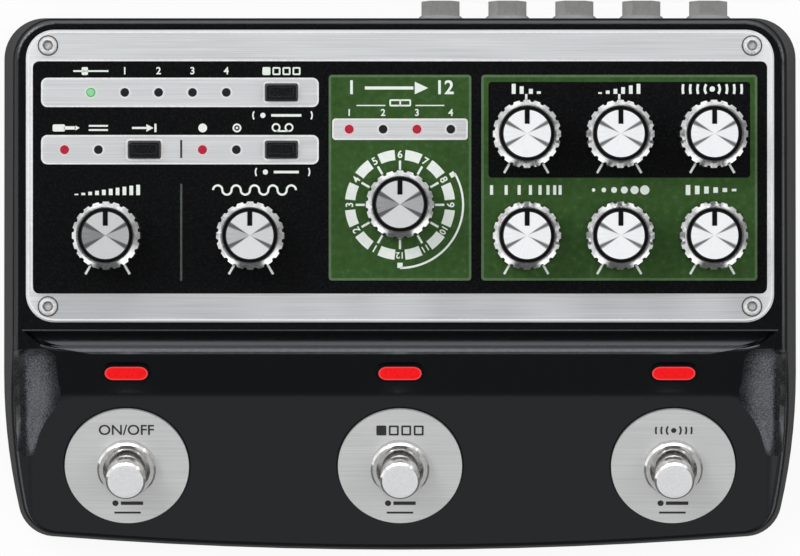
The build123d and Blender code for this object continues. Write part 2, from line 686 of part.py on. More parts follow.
with BuildPart() as panel_overlay:
    with BuildSketch(PANEL.offset(-POCKET_DEPTH)):
        RectangleRounded(OVERLAY_WIDTH - 2 * PRINT_CLEAR, OVERLAY_DEPTH - 2 * PRINT_CLEAR, OVERLAY_CORNER)
        strips(PRINT_CLEAR)
        panel_holes(Mode.SUBTRACT)
    extrude(amount=OVERLAY_THICK)
save(panel_overlay, "panel_overlay")

with BuildPart() as green_panels:
    with BuildSketch(PANEL.offset(OVERLAY_THICK - POCKET_DEPTH)):
        with Locations((0, AREA_SHIFT)):
            RectangleRounded(MODE_AREA_WIDTH, AREA_DEPTH, AREA_CORNER)
        with Locations((TONE_X, AREA_SHIFT)):
            RectangleRounded(TONE_WIDTH, AREA_DEPTH, AREA_CORNER)
        with Locations((TONE_X, TONE_INSET_V)):
            RectangleRounded(TONE_WIDTH - 2 * TONE_INSET, TONE_INSET_DEPTH, AREA_CORNER, mode=Mode.SUBTRACT)
        strips(PRINT_CLEAR)
        panel_holes(Mode.SUBTRACT)
    extrude(amount=PRINT_THICK)
save(green_panels, "green_panels")

with BuildPart() as panel_screws:
    for x, v in PLATE_SCREW_SPOTS:
        seat = moved(PANEL, x, v)
        with BuildSketch(upright(seat)):
            with BuildLine():
                Line((0, -SCREW_LENGTH), (SCREW_RADIUS, -SCREW_LENGTH))
                Line((SCREW_RADIUS, -SCREW_LENGTH), (SCREW_RADIUS, 0))
                Line((SCREW_RADIUS, 0), (SCREW_HEAD, 0))
                ThreePointArc(
                    (SCREW_HEAD, 0),
                    (SCREW_SHOULDER, SCREW_SHOULDER_HEIGHT),
                    (SCREW_HEAD_TOP, SCREW_HEAD_HEIGHT),
                )
                Line((SCREW_HEAD_TOP, SCREW_HEAD_HEIGHT), (0, SCREW_HEAD_HEIGHT))
                Line((0, SCREW_HEAD_HEIGHT), (0, -SCREW_LENGTH))
            make_face()
        revolve(axis=spindle(seat))
        with BuildSketch(seat.offset(SCREW_HEAD_HEIGHT)):
            RegularPolygon(SCREW_SOCKET, 6)
        extrude(amount=-SCREW_SOCKET_DEPTH, mode=Mode.SUBTRACT)
save(panel_screws, "panel_screws")

# Control board under the plate, held by hex spacers and the potentiometers
with BuildPart() as control_board:
    with BuildSketch(PANEL.offset(BOARD_TOP)):
        Rectangle(PLATE_WIDTH - 2 * CONTROL_BOARD_INSET, OVERLAY_DEPTH - CONTROL_BOARD_MARGIN)
        with Locations(*SPACERS):
            Circle(SPACER_HOLE, mode=Mode.SUBTRACT)
    extrude(amount=-BOARD_THICK)
save(control_board, "control_board")

with BuildPart() as board_spacers:
    with BuildSketch(PANEL.offset(BOARD_TOP)):
        with Locations(*SPACERS):
            RegularPolygon(SPACER_FLAT / 2, 6, major_radius=False)
            Circle(SPACER_HOLE, mode=Mode.SUBTRACT)
    extrude(amount=POT_HEIGHT)
save(board_spacers, "board_spacers")


# Potentiometers and the rotary selector, each with a bush that comes up through the plate
with BuildPart() as pot_bodies:
    with BuildSketch(PANEL.offset(BOARD_TOP)):
        with Locations(*POTS):
            RectangleRounded(POT_WIDTH, POT_LENGTH, POT_CORNER)
    extrude(amount=POT_HEIGHT)
    with BuildSketch(PANEL.offset(-PLATE_THICK)):
        with Locations(*POTS):
            Circle(BUSH_RADIUS)
    extrude(amount=PLATE_THICK + BUSH_PROUD)
    with BuildSketch(PANEL.offset(BUSH_PROUD)):
        with Locations(*POTS):
            Circle(SHAFT_RADIUS + SHAFT_CLEAR)
    extrude(amount=-BUSH_PROUD - PLATE_THICK - SHAFT_DEPTH, mode=Mode.SUBTRACT)
save(pot_bodies, "pot_bodies")

with BuildPart() as mode_switch:
    seat = moved(PANEL, *KNOBS["mode"])
    with BuildSketch(seat.offset(BOARD_TOP)):
        Circle(SELECTOR_RADIUS)
    extrude(amount=POT_HEIGHT)
    with BuildSketch(seat.offset(-PLATE_THICK)):
        Circle(BUSH_RADIUS)
    extrude(amount=PLATE_THICK + BUSH_PROUD)
    with BuildSketch(seat.offset(BUSH_PROUD)):
        Circle(SHAFT_RADIUS + SHAFT_CLEAR)
    extrude(amount=-BUSH_PROUD - PLATE_THICK - SHAFT_DEPTH, mode=Mode.SUBTRACT)
save(mode_switch, "mode_switch")

with BuildPart() as tact_switches:
    with BuildSketch(PANEL.offset(BOARD_TOP)):
        with Locations(*BUTTONS.values()):
            Rectangle(TACT_WIDTH, TACT_WIDTH)
    extrude(amount=TACT_HEIGHT)
    with BuildSketch(PANEL.offset(BOARD_TOP + TACT_HEIGHT)):
        with Locations(*BUTTONS.values()):
            Circle(BUTTON_STEM + TACT_CLEAR)
    extrude(amount=-TACT_WELL, mode=Mode.SUBTRACT)
save(tact_switches, "tact_switches")

with BuildPart() as panel_leds:
    with BuildSketch(PANEL.offset(BOARD_TOP)):
        with Locations(*LEDS):
            Circle(LED_BASE_RADIUS)
    extrude(amount=LED_BASE_HEIGHT)
    with BuildSketch(PANEL.offset(BOARD_TOP)):
        with Locations(*LEDS):
            Circle(LED_RADIUS)
    extrude(amount=LED_PROUD - BOARD_TOP)
save(panel_leds, "panel_leds")


def toothed_ring(plane, radius):
    """The outline of a knob's skirt: flat teeth with grooves between them."""
    pitch = 360.0 / KNOB_TEETH
    half_tooth = pitch * KNOB_TOOTH_SHARE / 2
    half_groove = pitch / 2 - half_tooth
    points = []
    for i in range(KNOB_TEETH):
        crest = i * pitch
        for angle, reach in (
            (crest - half_tooth, radius),
            (crest + half_tooth, radius),
            (crest + half_tooth + half_groove / 2, radius - KNOB_GROOVE_DEPTH),
            (crest + half_tooth + 3 * half_groove / 2, radius - KNOB_GROOVE_DEPTH),
        ):
            turn = math.radians(angle)
            points.append((reach * math.sin(turn), reach * math.cos(turn)))
    with BuildSketch(plane) as ring:
        Polygon(*points, align=None)
    return ring.sketch


# Knobs: a toothed skirt with a sloped shoulder and a plain lip, a turned cap in its top, and the shaft
for name, spot in KNOBS.items():
    seat = moved(PANEL, *spot)
    shoulder_fall = KNOB_LIP_RADIUS * math.tan(math.radians(KNOB_SHOULDER))
    with BuildPart() as knob:
        skirt_base = toothed_ring(seat.offset(KNOB_LIFT), KNOB_RADIUS)
        skirt_top = toothed_ring(seat.offset(KNOB_SKIRT_TOP), KNOB_SKIRT_TOP_RADIUS)
        loft([skirt_base, skirt_top], ruled=True)
        with BuildSketch(upright(seat)):
            with BuildLine():
                Polyline(
                    (KNOB_LIP_RADIUS, KNOB_SKIRT_TOP),
                    (2 * KNOB_LIP_RADIUS, KNOB_SKIRT_TOP),
                    (2 * KNOB_LIP_RADIUS, KNOB_SKIRT_TOP - shoulder_fall),
                    close=True,
                )
            make_face()
        revolve(axis=spindle(seat), mode=Mode.SUBTRACT)
        with BuildSketch(seat.offset(KNOB_SKIRT_TOP)):
            Circle(KNOB_LIP_RADIUS)
        extrude(amount=KNOB_TOP - KNOB_SKIRT_TOP)
        chamfer(knob.faces().sort_by(spindle(seat))[-1].edges(), KNOB_CHAMFER)
        with BuildSketch(seat.offset(KNOB_TOP)):
            Circle(KNOB_RECESS_RADIUS)
        extrude(amount=-KNOB_RECESS_DEPTH, mode=Mode.SUBTRACT)
        with BuildSketch(seat.offset(KNOB_LIFT)):
            Circle(SHAFT_RADIUS + SHAFT_CLEAR)
        extrude(amount=SHAFT_TOP - KNOB_LIFT, mode=Mode.SUBTRACT)
    save(knob, f"{name}_knob")

    with BuildPart() as cap:
        with BuildSketch(seat.offset(KNOB_TOP - KNOB_RECESS_DEPTH)):
            Circle(CAP_RADIUS)
            with Locations((0, CAP_SLOT_START + CAP_RADIUS / 2)):
                Rectangle(CAP_SLOT_WIDTH, CAP_RADIUS, mode=Mode.SUBTRACT)
        extrude(amount=CAP_THICK)
        chamfer(cap.faces().sort_by(spindle(seat))[-1].edges(), CAP_CHAMFER)
    save(cap, f"{name}_cap")

    with BuildPart() as shaft:
        with BuildSketch(seat.offset(-PLATE_THICK - SHAFT_DEPTH + SHAFT_FLOAT)):
            Circle(SHAFT_RADIUS)
        extrude(amount=PLATE_THICK + SHAFT_DEPTH - SHAFT_FLOAT + SHAFT_TOP)
    save(shaft, f"{name}_shaft")

# Panel buttons: a cap through the plate, a flange that keeps it in, and a stem into its switch
for name, spot in BUTTONS.items():
    seat = moved(PANEL, *spot)
    flange_top = -PLATE_THICK - BUTTON_GAP
    stem_end = BOARD_TOP + TACT_HEIGHT - TACT_WELL + BUTTON_TRAVEL + BUTTON_END_GAP
    with BuildPart() as button:
        with BuildSketch(seat.offset(flange_top)):
            RectangleRounded(BUTTON_WIDTH, BUTTON_DEPTH, BUTTON_CORNER)
        extrude(amount=BUTTON_PROUD - flange_top)
        fillet(button.faces().sort_by(spindle(seat))[-1].edges(), BUTTON_FILLET)
        with BuildSketch(seat.offset(flange_top)):
            flange_width = BUTTON_WIDTH + 2 * BUTTON_FLANGE
            flange_depth = BUTTON_DEPTH + 2 * BUTTON_FLANGE
            RectangleRounded(flange_width, flange_depth, BUTTON_CORNER)
        extrude(amount=-BUTTON_FLANGE_THICK)
        with BuildSketch(seat.offset(stem_end)):
            Circle(BUTTON_STEM)
        extrude(amount=flange_top - BUTTON_FLANGE_THICK - stem_end)
    save(button, name)

# Indicator bars, standing on the lamp board behind the sloped face
with BuildPart() as indicator_lenses:
    with BuildSketch(LENS_ROW.offset(-LAMP_BOARD_DROP)):
        with Locations(*[(x, 0) for x in LENSES]):
            SlotOverall(LENS_WIDTH, LENS_HEIGHT)
    extrude(amount=LAMP_BOARD_DROP + LENS_PROUD)
    fillet(indicator_lenses.faces().group_by(spindle(LENS_ROW))[-1].edges(), LENS_FILLET)
    with BuildSketch(LENS_ROW.offset(-LAMP_BOARD_DROP)):
        with Locations(*[(x, 0) for x in LENSES]):
            SlotOverall(LENS_WIDTH + 2 * LENS_FLANGE, LENS_HEIGHT + 2 * LENS_FLANGE)
    extrude(amount=LAMP_BOARD_DROP - CASE_WALL - LENS_FLANGE_GAP)
save(indicator_lenses, "indicator_lenses")

with BuildPart() as lamp_board:
    with BuildSketch(LENS_ROW.offset(-LAMP_BOARD_DROP)):
        Rectangle(2 * (LENS_PITCH + LAMP_BOARD_OVERHANG), LAMP_BOARD_DEPTH)
    extrude(amount=-BOARD_THICK)
save(lamp_board, "lamp_board")

# Foot switches: a disc on the deck, a threaded bushing with its nut, the switch and the plunger
with BuildPart() as footswitch_plates:
    with BuildSketch(FOOT_ROW):
        with Locations(*[(x, 0) for x in FOOT_SWITCHES.values()]):
            Circle(DISC_RADIUS)
            Circle(BARREL_RADIUS + BARREL_CLEAR, mode=Mode.SUBTRACT)
    extrude(amount=DISC_THICK)
save(footswitch_plates, "footswitch_plates")

with BuildPart() as footswitch_bushings:
    collar_top = DISC_THICK + COLLAR_HEIGHT
    bore = PLUNGER_RADIUS + PLUNGER_CLEAR
    for x in FOOT_SWITCHES.values():
        seat = moved(FOOT_ROW, x, 0)
        with BuildSketch(upright(seat)):
            with BuildLine():
                Polyline(
                    (bore, -BARREL_DEPTH),
                    (BARREL_RADIUS, -BARREL_DEPTH),
                    (BARREL_RADIUS, DISC_THICK),
                    (COLLAR_RADIUS, DISC_THICK),
                    (COLLAR_RADIUS, collar_top - COLLAR_BEVEL),
                    (COLLAR_RADIUS - COLLAR_BEVEL, collar_top),
                    (COLLAR_MOUTH, collar_top),
                    (bore, collar_top - COLLAR_MOUTH_DEPTH),
                    close=True,
                )
            make_face()
        revolve(axis=spindle(seat))
save(footswitch_bushings, "footswitch_bushings")

with BuildPart() as footswitch_nuts:
    with BuildSketch(FOOT_ROW.offset(-CASE_WALL)):
        with Locations(*[(x, 0) for x in FOOT_SWITCHES.values()]):
            RegularPolygon(FOOT_NUT_FLAT / 2, 6, major_radius=False)
            Circle(BARREL_RADIUS + THREAD_CLEAR, mode=Mode.SUBTRACT)
    extrude(amount=-FOOT_NUT_THICK)
save(footswitch_nuts, "footswitch_nuts")

with BuildPart() as footswitch_bodies:
    with BuildSketch(FOOT_ROW.offset(-BARREL_DEPTH)):
        with Locations(*[(x, 0) for x in FOOT_SWITCHES.values()]):
            RectangleRounded(SWITCH_WIDTH, SWITCH_WIDTH, SWITCH_CORNER)
    extrude(amount=-SWITCH_HEIGHT)
    with BuildSketch(FOOT_ROW.offset(-BARREL_DEPTH)):
        with Locations(*[(x, 0) for x in FOOT_SWITCHES.values()]):
            Circle(SWITCH_WELL_RADIUS)
    extrude(amount=-SWITCH_WELL_DEPTH, mode=Mode.SUBTRACT)
save(footswitch_bodies, "footswitch_bodies")

for side, x in FOOT_SWITCHES.items():
    seat = moved(FOOT_ROW, x, 0)
    flange_top = -BARREL_DEPTH - PLUNGER_FLANGE_GAP
    cap_base = PLUNGER_TOP - PLUNGER_CAP_HEIGHT
    ring_top = cap_base - PLUNGER_RING_DROP
    ring_base = ring_top - PLUNGER_RING_HEIGHT
    with BuildPart() as plunger:
        with BuildSketch(upright(seat)):
            with BuildLine():
                Polyline(
                    (0, flange_top - PLUNGER_FLANGE_HEIGHT),
                    (PLUNGER_FLANGE_RADIUS, flange_top - PLUNGER_FLANGE_HEIGHT),
                    (PLUNGER_FLANGE_RADIUS, flange_top),
                    (PLUNGER_RADIUS, flange_top),
                    (PLUNGER_RADIUS, ring_base),
                    (PLUNGER_RING_RADIUS, ring_base),
                    (PLUNGER_RING_RADIUS, ring_top),
                    (PLUNGER_RADIUS, ring_top),
                    (PLUNGER_RADIUS, cap_base),
                    (PLUNGER_CAP_RADIUS, cap_base),
                    (PLUNGER_CAP_RADIUS, PLUNGER_TOP - PLUNGER_CHAMFER),
                    (PLUNGER_CAP_RADIUS - PLUNGER_CHAMFER, PLUNGER_TOP),
                    (0, PLUNGER_TOP),
                    close=True,
                )
            make_face()
        revolve(axis=spindle(seat))
    save(plunger, f"{side}_foot_button")

# Rear sockets on their board: five phone jacks with nuts, two mini jacks, a data port, a power jack
with BuildPart() as jack_board:
    with BuildSketch(Plane.XY.offset(JACK_BOARD_TOP)):
        with Locations((0, JACK_BOARD_Y)):
            Rectangle(JACK_BOARD_WIDTH, JACK_BOARD_DEPTH)
    extrude(amount=-BOARD_THICK)
save(jack_board, "jack_board")

with BuildPart() as phone_jacks:
    jack_spots = [(-x, 0) for x in JACKS]
    with BuildSketch(REAR.offset(-CASE_WALL)):
        with Locations(*jack_spots):
            Rectangle(JACK_BODY_WIDTH, JACK_BODY_HEIGHT)
    extrude(amount=-JACK_BODY_LENGTH)
    with BuildSketch(REAR.offset(-CASE_WALL)):
        with Locations(*jack_spots):
            Circle(JACK_SLEEVE)
    extrude(amount=CASE_WALL + JACK_SLEEVE_PROUD)
    with BuildSketch(REAR.offset(JACK_SLEEVE_PROUD)):
        with Locations(*jack_spots):
            Circle(JACK_BORE)
    bore_depth = JACK_SLEEVE_PROUD + CASE_WALL + JACK_BODY_LENGTH - JACK_BACK_WALL
    extrude(amount=-bore_depth, mode=Mode.SUBTRACT)
save(phone_jacks, "phone_jacks")

with BuildPart() as jack_nuts:
    for x, drop in jack_spots:
        seat = moved(REAR, x, drop)
        with BuildSketch(upright(seat)):
            with BuildLine():
                Polyline(
                    (JACK_BORE, 0),
                    (NUT_FLANGE_RADIUS, 0),
                    (NUT_FLANGE_TOP, NUT_FLANGE_THICK),
                    (JACK_BORE, NUT_FLANGE_THICK),
                    close=True,
                )
            make_face()
        revolve(axis=spindle(seat))
    with BuildSketch(REAR):
        with Locations(*jack_spots):
            RegularPolygon(NUT_HEX_FLAT / 2, 6, major_radius=False)
            Circle(JACK_BORE, mode=Mode.SUBTRACT)
    extrude(amount=JACK_PROUD)
    with BuildSketch(REAR):
        with Locations(*jack_spots):
            Circle(JACK_SLEEVE + THREAD_CLEAR)
    extrude(amount=NUT_COUNTERBORE, mode=Mode.SUBTRACT)
save(jack_nuts, "jack_nuts")

with BuildPart() as mini_jacks:
    mini_spots = [(-x, MIDI_DROP) for x in MIDI_JACKS]
    with BuildSketch(REAR.offset(-CASE_WALL)):
        with Locations(*mini_spots):
            Rectangle(MIDI_WIDTH, MIDI_HEIGHT)
    extrude(amount=-MIDI_LENGTH)
    with BuildSketch(REAR.offset(-CASE_WALL)):
        with Locations(*mini_spots):
            Circle(MIDI_SNOUT)
    extrude(amount=CASE_WALL - SNOUT_RECESS)
    with BuildSketch(REAR.offset(-SNOUT_RECESS)):
        with Locations(*mini_spots):
            Circle(MIDI_BORE)
    extrude(amount=-MIDI_DEPTH, mode=Mode.SUBTRACT)
save(mini_jacks, "mini_jacks")

with BuildPart() as usb_port:
    seat = moved(REAR, USB_X, USB_DROP, -SNOUT_RECESS)
    with BuildSketch(seat):
        SlotOverall(USB_WIDTH, USB_HEIGHT)
    extrude(amount=-USB_LENGTH)
    with BuildSketch(seat):
        SlotOverall(USB_WIDTH - 2 * USB_SHELL, USB_HEIGHT - 2 * USB_SHELL)
    extrude(amount=USB_BACK - USB_LENGTH, mode=Mode.SUBTRACT)
    with BuildSketch(seat.offset(USB_BACK - USB_LENGTH)):
        Rectangle(USB_TONGUE_WIDTH, USB_TONGUE_THICK)
    extrude(amount=USB_TONGUE_LENGTH)
save(usb_port, "usb_port")

with BuildPart() as dc_jack:
    seat = moved(REAR, DC_X, DC_DROP)
    with BuildSketch(seat.offset(-CASE_WALL)):
        Rectangle(DC_WIDTH, DC_HEIGHT)
    extrude(amount=-DC_LENGTH)
    with BuildSketch(seat.offset(-CASE_WALL)):
        Circle(DC_SNOUT)
    extrude(amount=CASE_WALL - SNOUT_RECESS)
    with BuildSketch(seat.offset(-SNOUT_RECESS)):
        Circle(DC_BORE)
    extrude(amount=-DC_DEPTH, mode=Mode.SUBTRACT)
    with BuildSketch(seat.offset(-SNOUT_RECESS - DC_DEPTH)):
        Circle(DC_PIN)
    extrude(amount=DC_PIN_LENGTH)
save(dc_jack, "dc_jack")

# Flat cables from the control board to the socket board and to the lamp board
with BuildPart() as ribbon_cables:
    ribbon_top = BOARD_BASE - RIBBON_GAP
    ribbon_foot = JACK_BOARD_TOP + RIBBON_GAP - PANEL_HEIGHT
    lamp_spot = LENS_ROW.from_local_coords(Vector(0, 0, -LAMP_BOARD_DROP - BOARD_THICK - RIBBON_GAP))
    lamp_exit = LENS_ROW.from_local_coords(Vector(0, 0, -LAMP_BOARD_DROP - BOARD_THICK - FRONT_RIBBON_DROP))
    lamp_end = PANEL.to_local_coords(lamp_spot)
    lamp_turn = PANEL.to_local_coords(lamp_exit)
    with BuildSketch(moved(PROFILE, 0, 0, REAR_RIBBON_X)):
        with BuildLine():
            FilletPolyline(
                (REAR_RIBBON_TOP_V, ribbon_top),
                (REAR_RIBBON_TOP_V, ribbon_top - REAR_RIBBON_MIDDLE),
                (REAR_RIBBON_FOOT_V, ribbon_top - REAR_RIBBON_MIDDLE),
                (REAR_RIBBON_FOOT_V, ribbon_foot),
                radius=RIBBON_BEND / 2,
            )
        trace(line_width=RIBBON_THICK)
    extrude(amount=RIBBON_WIDTH / 2, both=True)
    with BuildSketch(PROFILE):
        with BuildLine():
            FilletPolyline(
                (FRONT_RIBBON_V, ribbon_top),
                (FRONT_RIBBON_V, lamp_turn.Z),
                (lamp_turn.Y, lamp_turn.Z),
                (lamp_end.Y, lamp_end.Z),
                radius=RIBBON_BEND,
            )
        trace(line_width=RIBBON_THICK)
    extrude(amount=RIBBON_WIDTH / 2, both=True)
save(ribbon_cables, "ribbon_cables")
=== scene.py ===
import math

import bpy
from mathutils import Matrix, Vector


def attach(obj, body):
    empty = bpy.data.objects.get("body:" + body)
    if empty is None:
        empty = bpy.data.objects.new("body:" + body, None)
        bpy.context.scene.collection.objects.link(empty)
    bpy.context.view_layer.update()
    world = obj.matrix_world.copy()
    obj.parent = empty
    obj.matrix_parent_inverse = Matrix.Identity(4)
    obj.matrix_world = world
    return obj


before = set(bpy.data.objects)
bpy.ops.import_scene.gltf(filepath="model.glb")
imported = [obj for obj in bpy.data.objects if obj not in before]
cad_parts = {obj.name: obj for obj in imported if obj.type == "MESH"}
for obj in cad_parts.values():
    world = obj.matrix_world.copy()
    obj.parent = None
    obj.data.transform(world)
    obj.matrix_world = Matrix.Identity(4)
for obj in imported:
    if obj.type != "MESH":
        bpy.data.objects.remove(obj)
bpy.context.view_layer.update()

# Tape echo foot pedal: the finishes of its solids, some with painted light and shade, and the print, lamps,
# trim and inlays that they carry.
# Blender works in metres; sizes below are in millimetres and are scaled by MM where they are used.
MM = 0.001

# Where the panel, the foot switches and the indicator bars lie, and how high each surface is above its plane
PANEL_ORIGIN = (0.0, 23.65, 39.0)
PANEL_TILT = 1.0
FOOT_ROW_ORIGIN = (0.0, -45.68, 20.48)
FOOT_ROW_TILT = 23.3
LENS_ROW_ORIGIN = (0.0, -23.23, 32.20)
LENS_ROW_TILT = 38.3
OVERLAY_TOP = -0.05
GREEN_TOP = 0.07
PLATE_TOP = 0.0
LAMP_TOP = 0.15
BUTTON_TOP = 1.3
CAP_TOP = 12.8
DISC_TOP = 0.8
PLUNGER_TOP = 9.8
LENS_TOP = 0.5

# Panel layout, measured from the middle of the control plate
KNOBS = {
    "saturation": (-69.95, -14.3),
    "flutter": (-35.65, -14.3),
    "mode": (0.0, -6.9),
    "bass": (30.2, 9.9),
    "treble": (52.45, 9.9),
    "reverb": (74.7, 9.9),
    "repeat_rate": (30.2, -14.3),
    "intensity": (52.45, -14.3),
    "echo": (74.7, -14.3),
}
KNOBS_ON_BLACK = ("saturation", "flutter", "bass", "treble", "reverb")
KNOBS_ON_GREEN = ("repeat_rate", "intensity", "echo")
UPPER_STRIP = 20.0
LOWER_STRIP = 6.3
HEAD_STRIP = 11.2
BUTTONS = {
    "memory_button": (-28.35, UPPER_STRIP),
    "input_button": (-61.15, LOWER_STRIP),
    "tape_button": (-28.35, LOWER_STRIP),
}
LAMP_PITCH = 8.1
MEMORY_LAMPS = [(-65.85 + LAMP_PITCH * i, UPPER_STRIP) for i in range(4)]
HEAD_LAMPS = [((i - 1.5) * LAMP_PITCH, HEAD_STRIP) for i in range(4)]
RED_LAMPS = [(-80.25, LOWER_STRIP), (-47.25, LOWER_STRIP), HEAD_LAMPS[0], HEAD_LAMPS[2]]
GREEN_LAMPS = [(-73.95, UPPER_STRIP)]
DARK_LAMPS = [*MEMORY_LAMPS, (-72.15, LOWER_STRIP), (-39.15, LOWER_STRIP), HEAD_LAMPS[1], HEAD_LAMPS[3]]
SCREW_SPOT = (84.2, 31.2)

# Foot switches and indicator bars, measured from the middle of their rows
FOOT_SWITCHES = {"left": -66.0, "centre": 0.0, "right": 66.0}
LENSES = (-65.7, 0.0, 65.7)

# Print and thin trim
PRINT_THICK = 0.04
PRINT_SINK = 0.01
BLOCK_CORNER_STEPS = 6
DOT_SIDES = 28
BAND_STEP = 5
BAND_LEAST_STEPS = 6
FULL_TURN = 360.0


def place(origin, tilt, lift):
    """The matrix of a plane that leans back by a tilt in degrees, lifted along its normal."""
    spot = Matrix.Translation(Vector(origin) * MM)
    lean = Matrix.Rotation(math.radians(tilt), 4, "X")
    return spot @ lean @ Matrix.Translation((0.0, 0.0, lift * MM))


def panel_at(lift):
    """The panel's plane, lifted along its normal."""
    return place(PANEL_ORIGIN, PANEL_TILT, lift)


def seat_on(plane, spot):
    """The matrix of a spot on a plane."""
    return plane @ Matrix.Translation((spot[0] * MM, spot[1] * MM, 0.0))


def pick_none():
    """Leaves nothing selected."""
    bpy.ops.object.select_all(action="DESELECT")


# Flat print is drawn as one sheet in edit mode, shape by shape, and then given its thickness


def open_sheet():
    """Starts an empty sheet in edit mode."""
    pick_none()
    bpy.ops.mesh.primitive_plane_add(size=MM)
    bpy.ops.object.mode_set(mode="EDIT")
    bpy.ops.mesh.delete(type="VERT")


def lay_bar(x, y, width, depth, turn=0.0):
    """A bar with its middle at x, y, turned clockwise by degrees."""
    middle = (x * MM, y * MM, 0.0)
    bpy.ops.mesh.primitive_plane_add(size=MM, location=middle)
    bpy.ops.transform.resize(value=(width, depth, 1.0), center_override=middle)
    bpy.ops.transform.rotate(value=math.radians(turn), orient_axis="Z", center_override=middle)


def lay_tick(centre, reach, angle, width):
    """A radial bar between two radii, at a clock angle in degrees."""
    middle = (reach[0] + reach[1]) / 2
    lean = math.radians(angle)
    x = centre[0] + middle * math.sin(lean)
    y = centre[1] + middle * math.cos(lean)
    lay_bar(x, y, width, reach[1] - reach[0], angle)


def lay_block(x, y, width, depth, corner):
    """A bar with round corners."""
    lay_bar(x, y, width, depth)
    bpy.ops.mesh.bevel(offset=corner * MM, segments=BLOCK_CORNER_STEPS, affect="VERTICES")


def lay_frame(x, y, width, depth, corner, line):
    """The outline of a block, as wide as a line."""
    lay_block(x, y, width, depth, corner)
    bpy.ops.mesh.inset(thickness=line * MM)
    bpy.ops.mesh.delete(type="FACE")


def lay_disc(x, y, radius):
    """A round dot."""
    bpy.ops.mesh.primitive_circle_add(
        vertices=DOT_SIDES, radius=radius * MM, fill_type="NGON", location=(x * MM, y * MM, 0.0)
    )


def lay_arrow(x, y, width, depth):
    """A head that points to the right."""
    # The triangle that it starts from is 1.5 radii long and root 3 radii wide
    middle = (x * MM, y * MM, 0.0)
    bpy.ops.mesh.primitive_circle_add(vertices=3, radius=MM, fill_type="NGON", location=middle)
    bpy.ops.transform.rotate(value=math.radians(90.0), orient_axis="Z", center_override=middle)
    bpy.ops.transform.resize(value=(width / 1.5, depth / math.sqrt(3.0), 1.0), center_override=middle)


def lay_band(centre, inner, outer, start, sweep):
    """A part of a ring, clockwise from a clock angle by a sweep in degrees."""
    hub = (centre[0] * MM, centre[1] * MM, 0.0)
    middle = (hub[0], hub[1] + (inner + outer) / 2 * MM, 0.0)
    bpy.ops.mesh.primitive_plane_add(size=MM, location=middle)
    bpy.ops.transform.resize(value=(0.0, outer - inner, 1.0), center_override=middle)
    bpy.ops.mesh.remove_doubles(threshold=PRINT_SINK * MM)
    bpy.ops.transform.rotate(value=math.radians(start), orient_axis="Z", center_override=hub)
    steps = max(BAND_LEAST_STEPS, round(sweep / BAND_STEP))
    bpy.ops.mesh.spin(steps=steps, angle=math.radians(sweep), center=hub, axis=(0.0, 0.0, 1.0))
    if sweep >= FULL_TURN:
        bpy.ops.mesh.remove_doubles(threshold=PRINT_SINK * MM)


def lay_ring(centre, inner, outer):
    """A whole ring."""
    lay_band(centre, inner, outer, 0.0, FULL_TURN)


def leave_edit():
    """Turns all faces outwards and leaves edit mode."""
    bpy.ops.mesh.select_all(action="SELECT")
    bpy.ops.mesh.normals_make_consistent(inside=False)
    bpy.ops.object.mode_set(mode="OBJECT")


def close_sheet(thick=PRINT_THICK):
    """Gives the sheet its thickness and leaves edit mode."""
    bpy.ops.mesh.select_all(action="SELECT")
    bpy.ops.mesh.extrude_region_move(TRANSFORM_OT_translate={"value": (0.0, 0.0, thick * MM)})
    leave_edit()
    return bpy.context.object


def numeral(text, size, x, y, turn=0.0, bold=0.02):
    """A raised figure with its middle at x, y, turned clockwise by degrees."""
    pick_none()
    bpy.ops.object.text_add()
    figure = bpy.context.object
    figure.data.body = text
    figure.data.size = size * MM
    figure.data.align_x = "CENTER"
    figure.data.align_y = "CENTER"
    figure.data.extrude = PRINT_THICK * MM / 2
    figure.data.offset = size * MM * bold
    bpy.ops.object.convert(target="MESH")
    figure = bpy.context.object
    figure.location = (x * MM, y * MM, PRINT_THICK * MM / 2)
    figure.rotation_euler = (0.0, 0.0, -math.radians(turn))
    bpy.ops.object.transform_apply(location=True, rotation=True, scale=True)
    return figure


def pick(piece):
    """Selects one piece alone."""
    pick_none()
    piece.select_set(True)
    bpy.context.view_layer.objects.active = piece


def join(pieces):
    """Makes one object of several."""
    pick(pieces[0])
    for piece in pieces:
        piece.select_set(True)
    bpy.ops.object.join()
    return bpy.context.object


def copy_of(piece):
    """A copy with a mesh of its own."""
    twin = piece.copy()
    twin.data = piece.data.copy()
    bpy.context.scene.collection.objects.link(twin)
    return twin


def soften(piece, width, segments=2):
    """Rounds the edges of a piece."""
    pick(piece)
    rounding = piece.modifiers.new("soft_edges", "BEVEL")
    rounding.width = width * MM
    rounding.segments = segments
    bpy.ops.object.modifier_apply(modifier=rounding.name)


def settle(piece, name, spot, body, finish):
    """Names a piece, puts its place into its mesh, gives it a finish and ties it to a body."""
    piece.name = name
    piece.data.name = name
    pick(piece)
    piece.matrix_world = spot
    bpy.ops.object.transform_apply(location=True, rotation=True, scale=True)
    piece.data.materials.clear()
    piece.data.materials.append(finish)
    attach(piece, body)


# Finishes. A row of four gives where a change starts and ends, and the value at each.
GRAIN_SPREAD = (0.3, 0.7)
FULL_SPREAD = (0.0, 1.0)
IN_MILLIMETRES = (1.0 / MM, 1.0 / MM, 1.0 / MM)


def bare_finish(name, metallic, **constants):
    """A material with one shader and the values that are the same all over it."""
    material = bpy.data.materials.new(name)
    material.use_nodes = True
    shader = material.node_tree.nodes["Principled BSDF"]
    shader.inputs["Metallic"].default_value = metallic
    for socket, value in constants.items():
        shader.inputs[socket.replace("_", " ")].default_value = value
    return material, shader


def fill(tree, socket, source):
    """Sets a socket to a value or links it to another socket."""
    if isinstance(source, float):
        socket.default_value = source
    else:
        tree.links.new(source, socket)


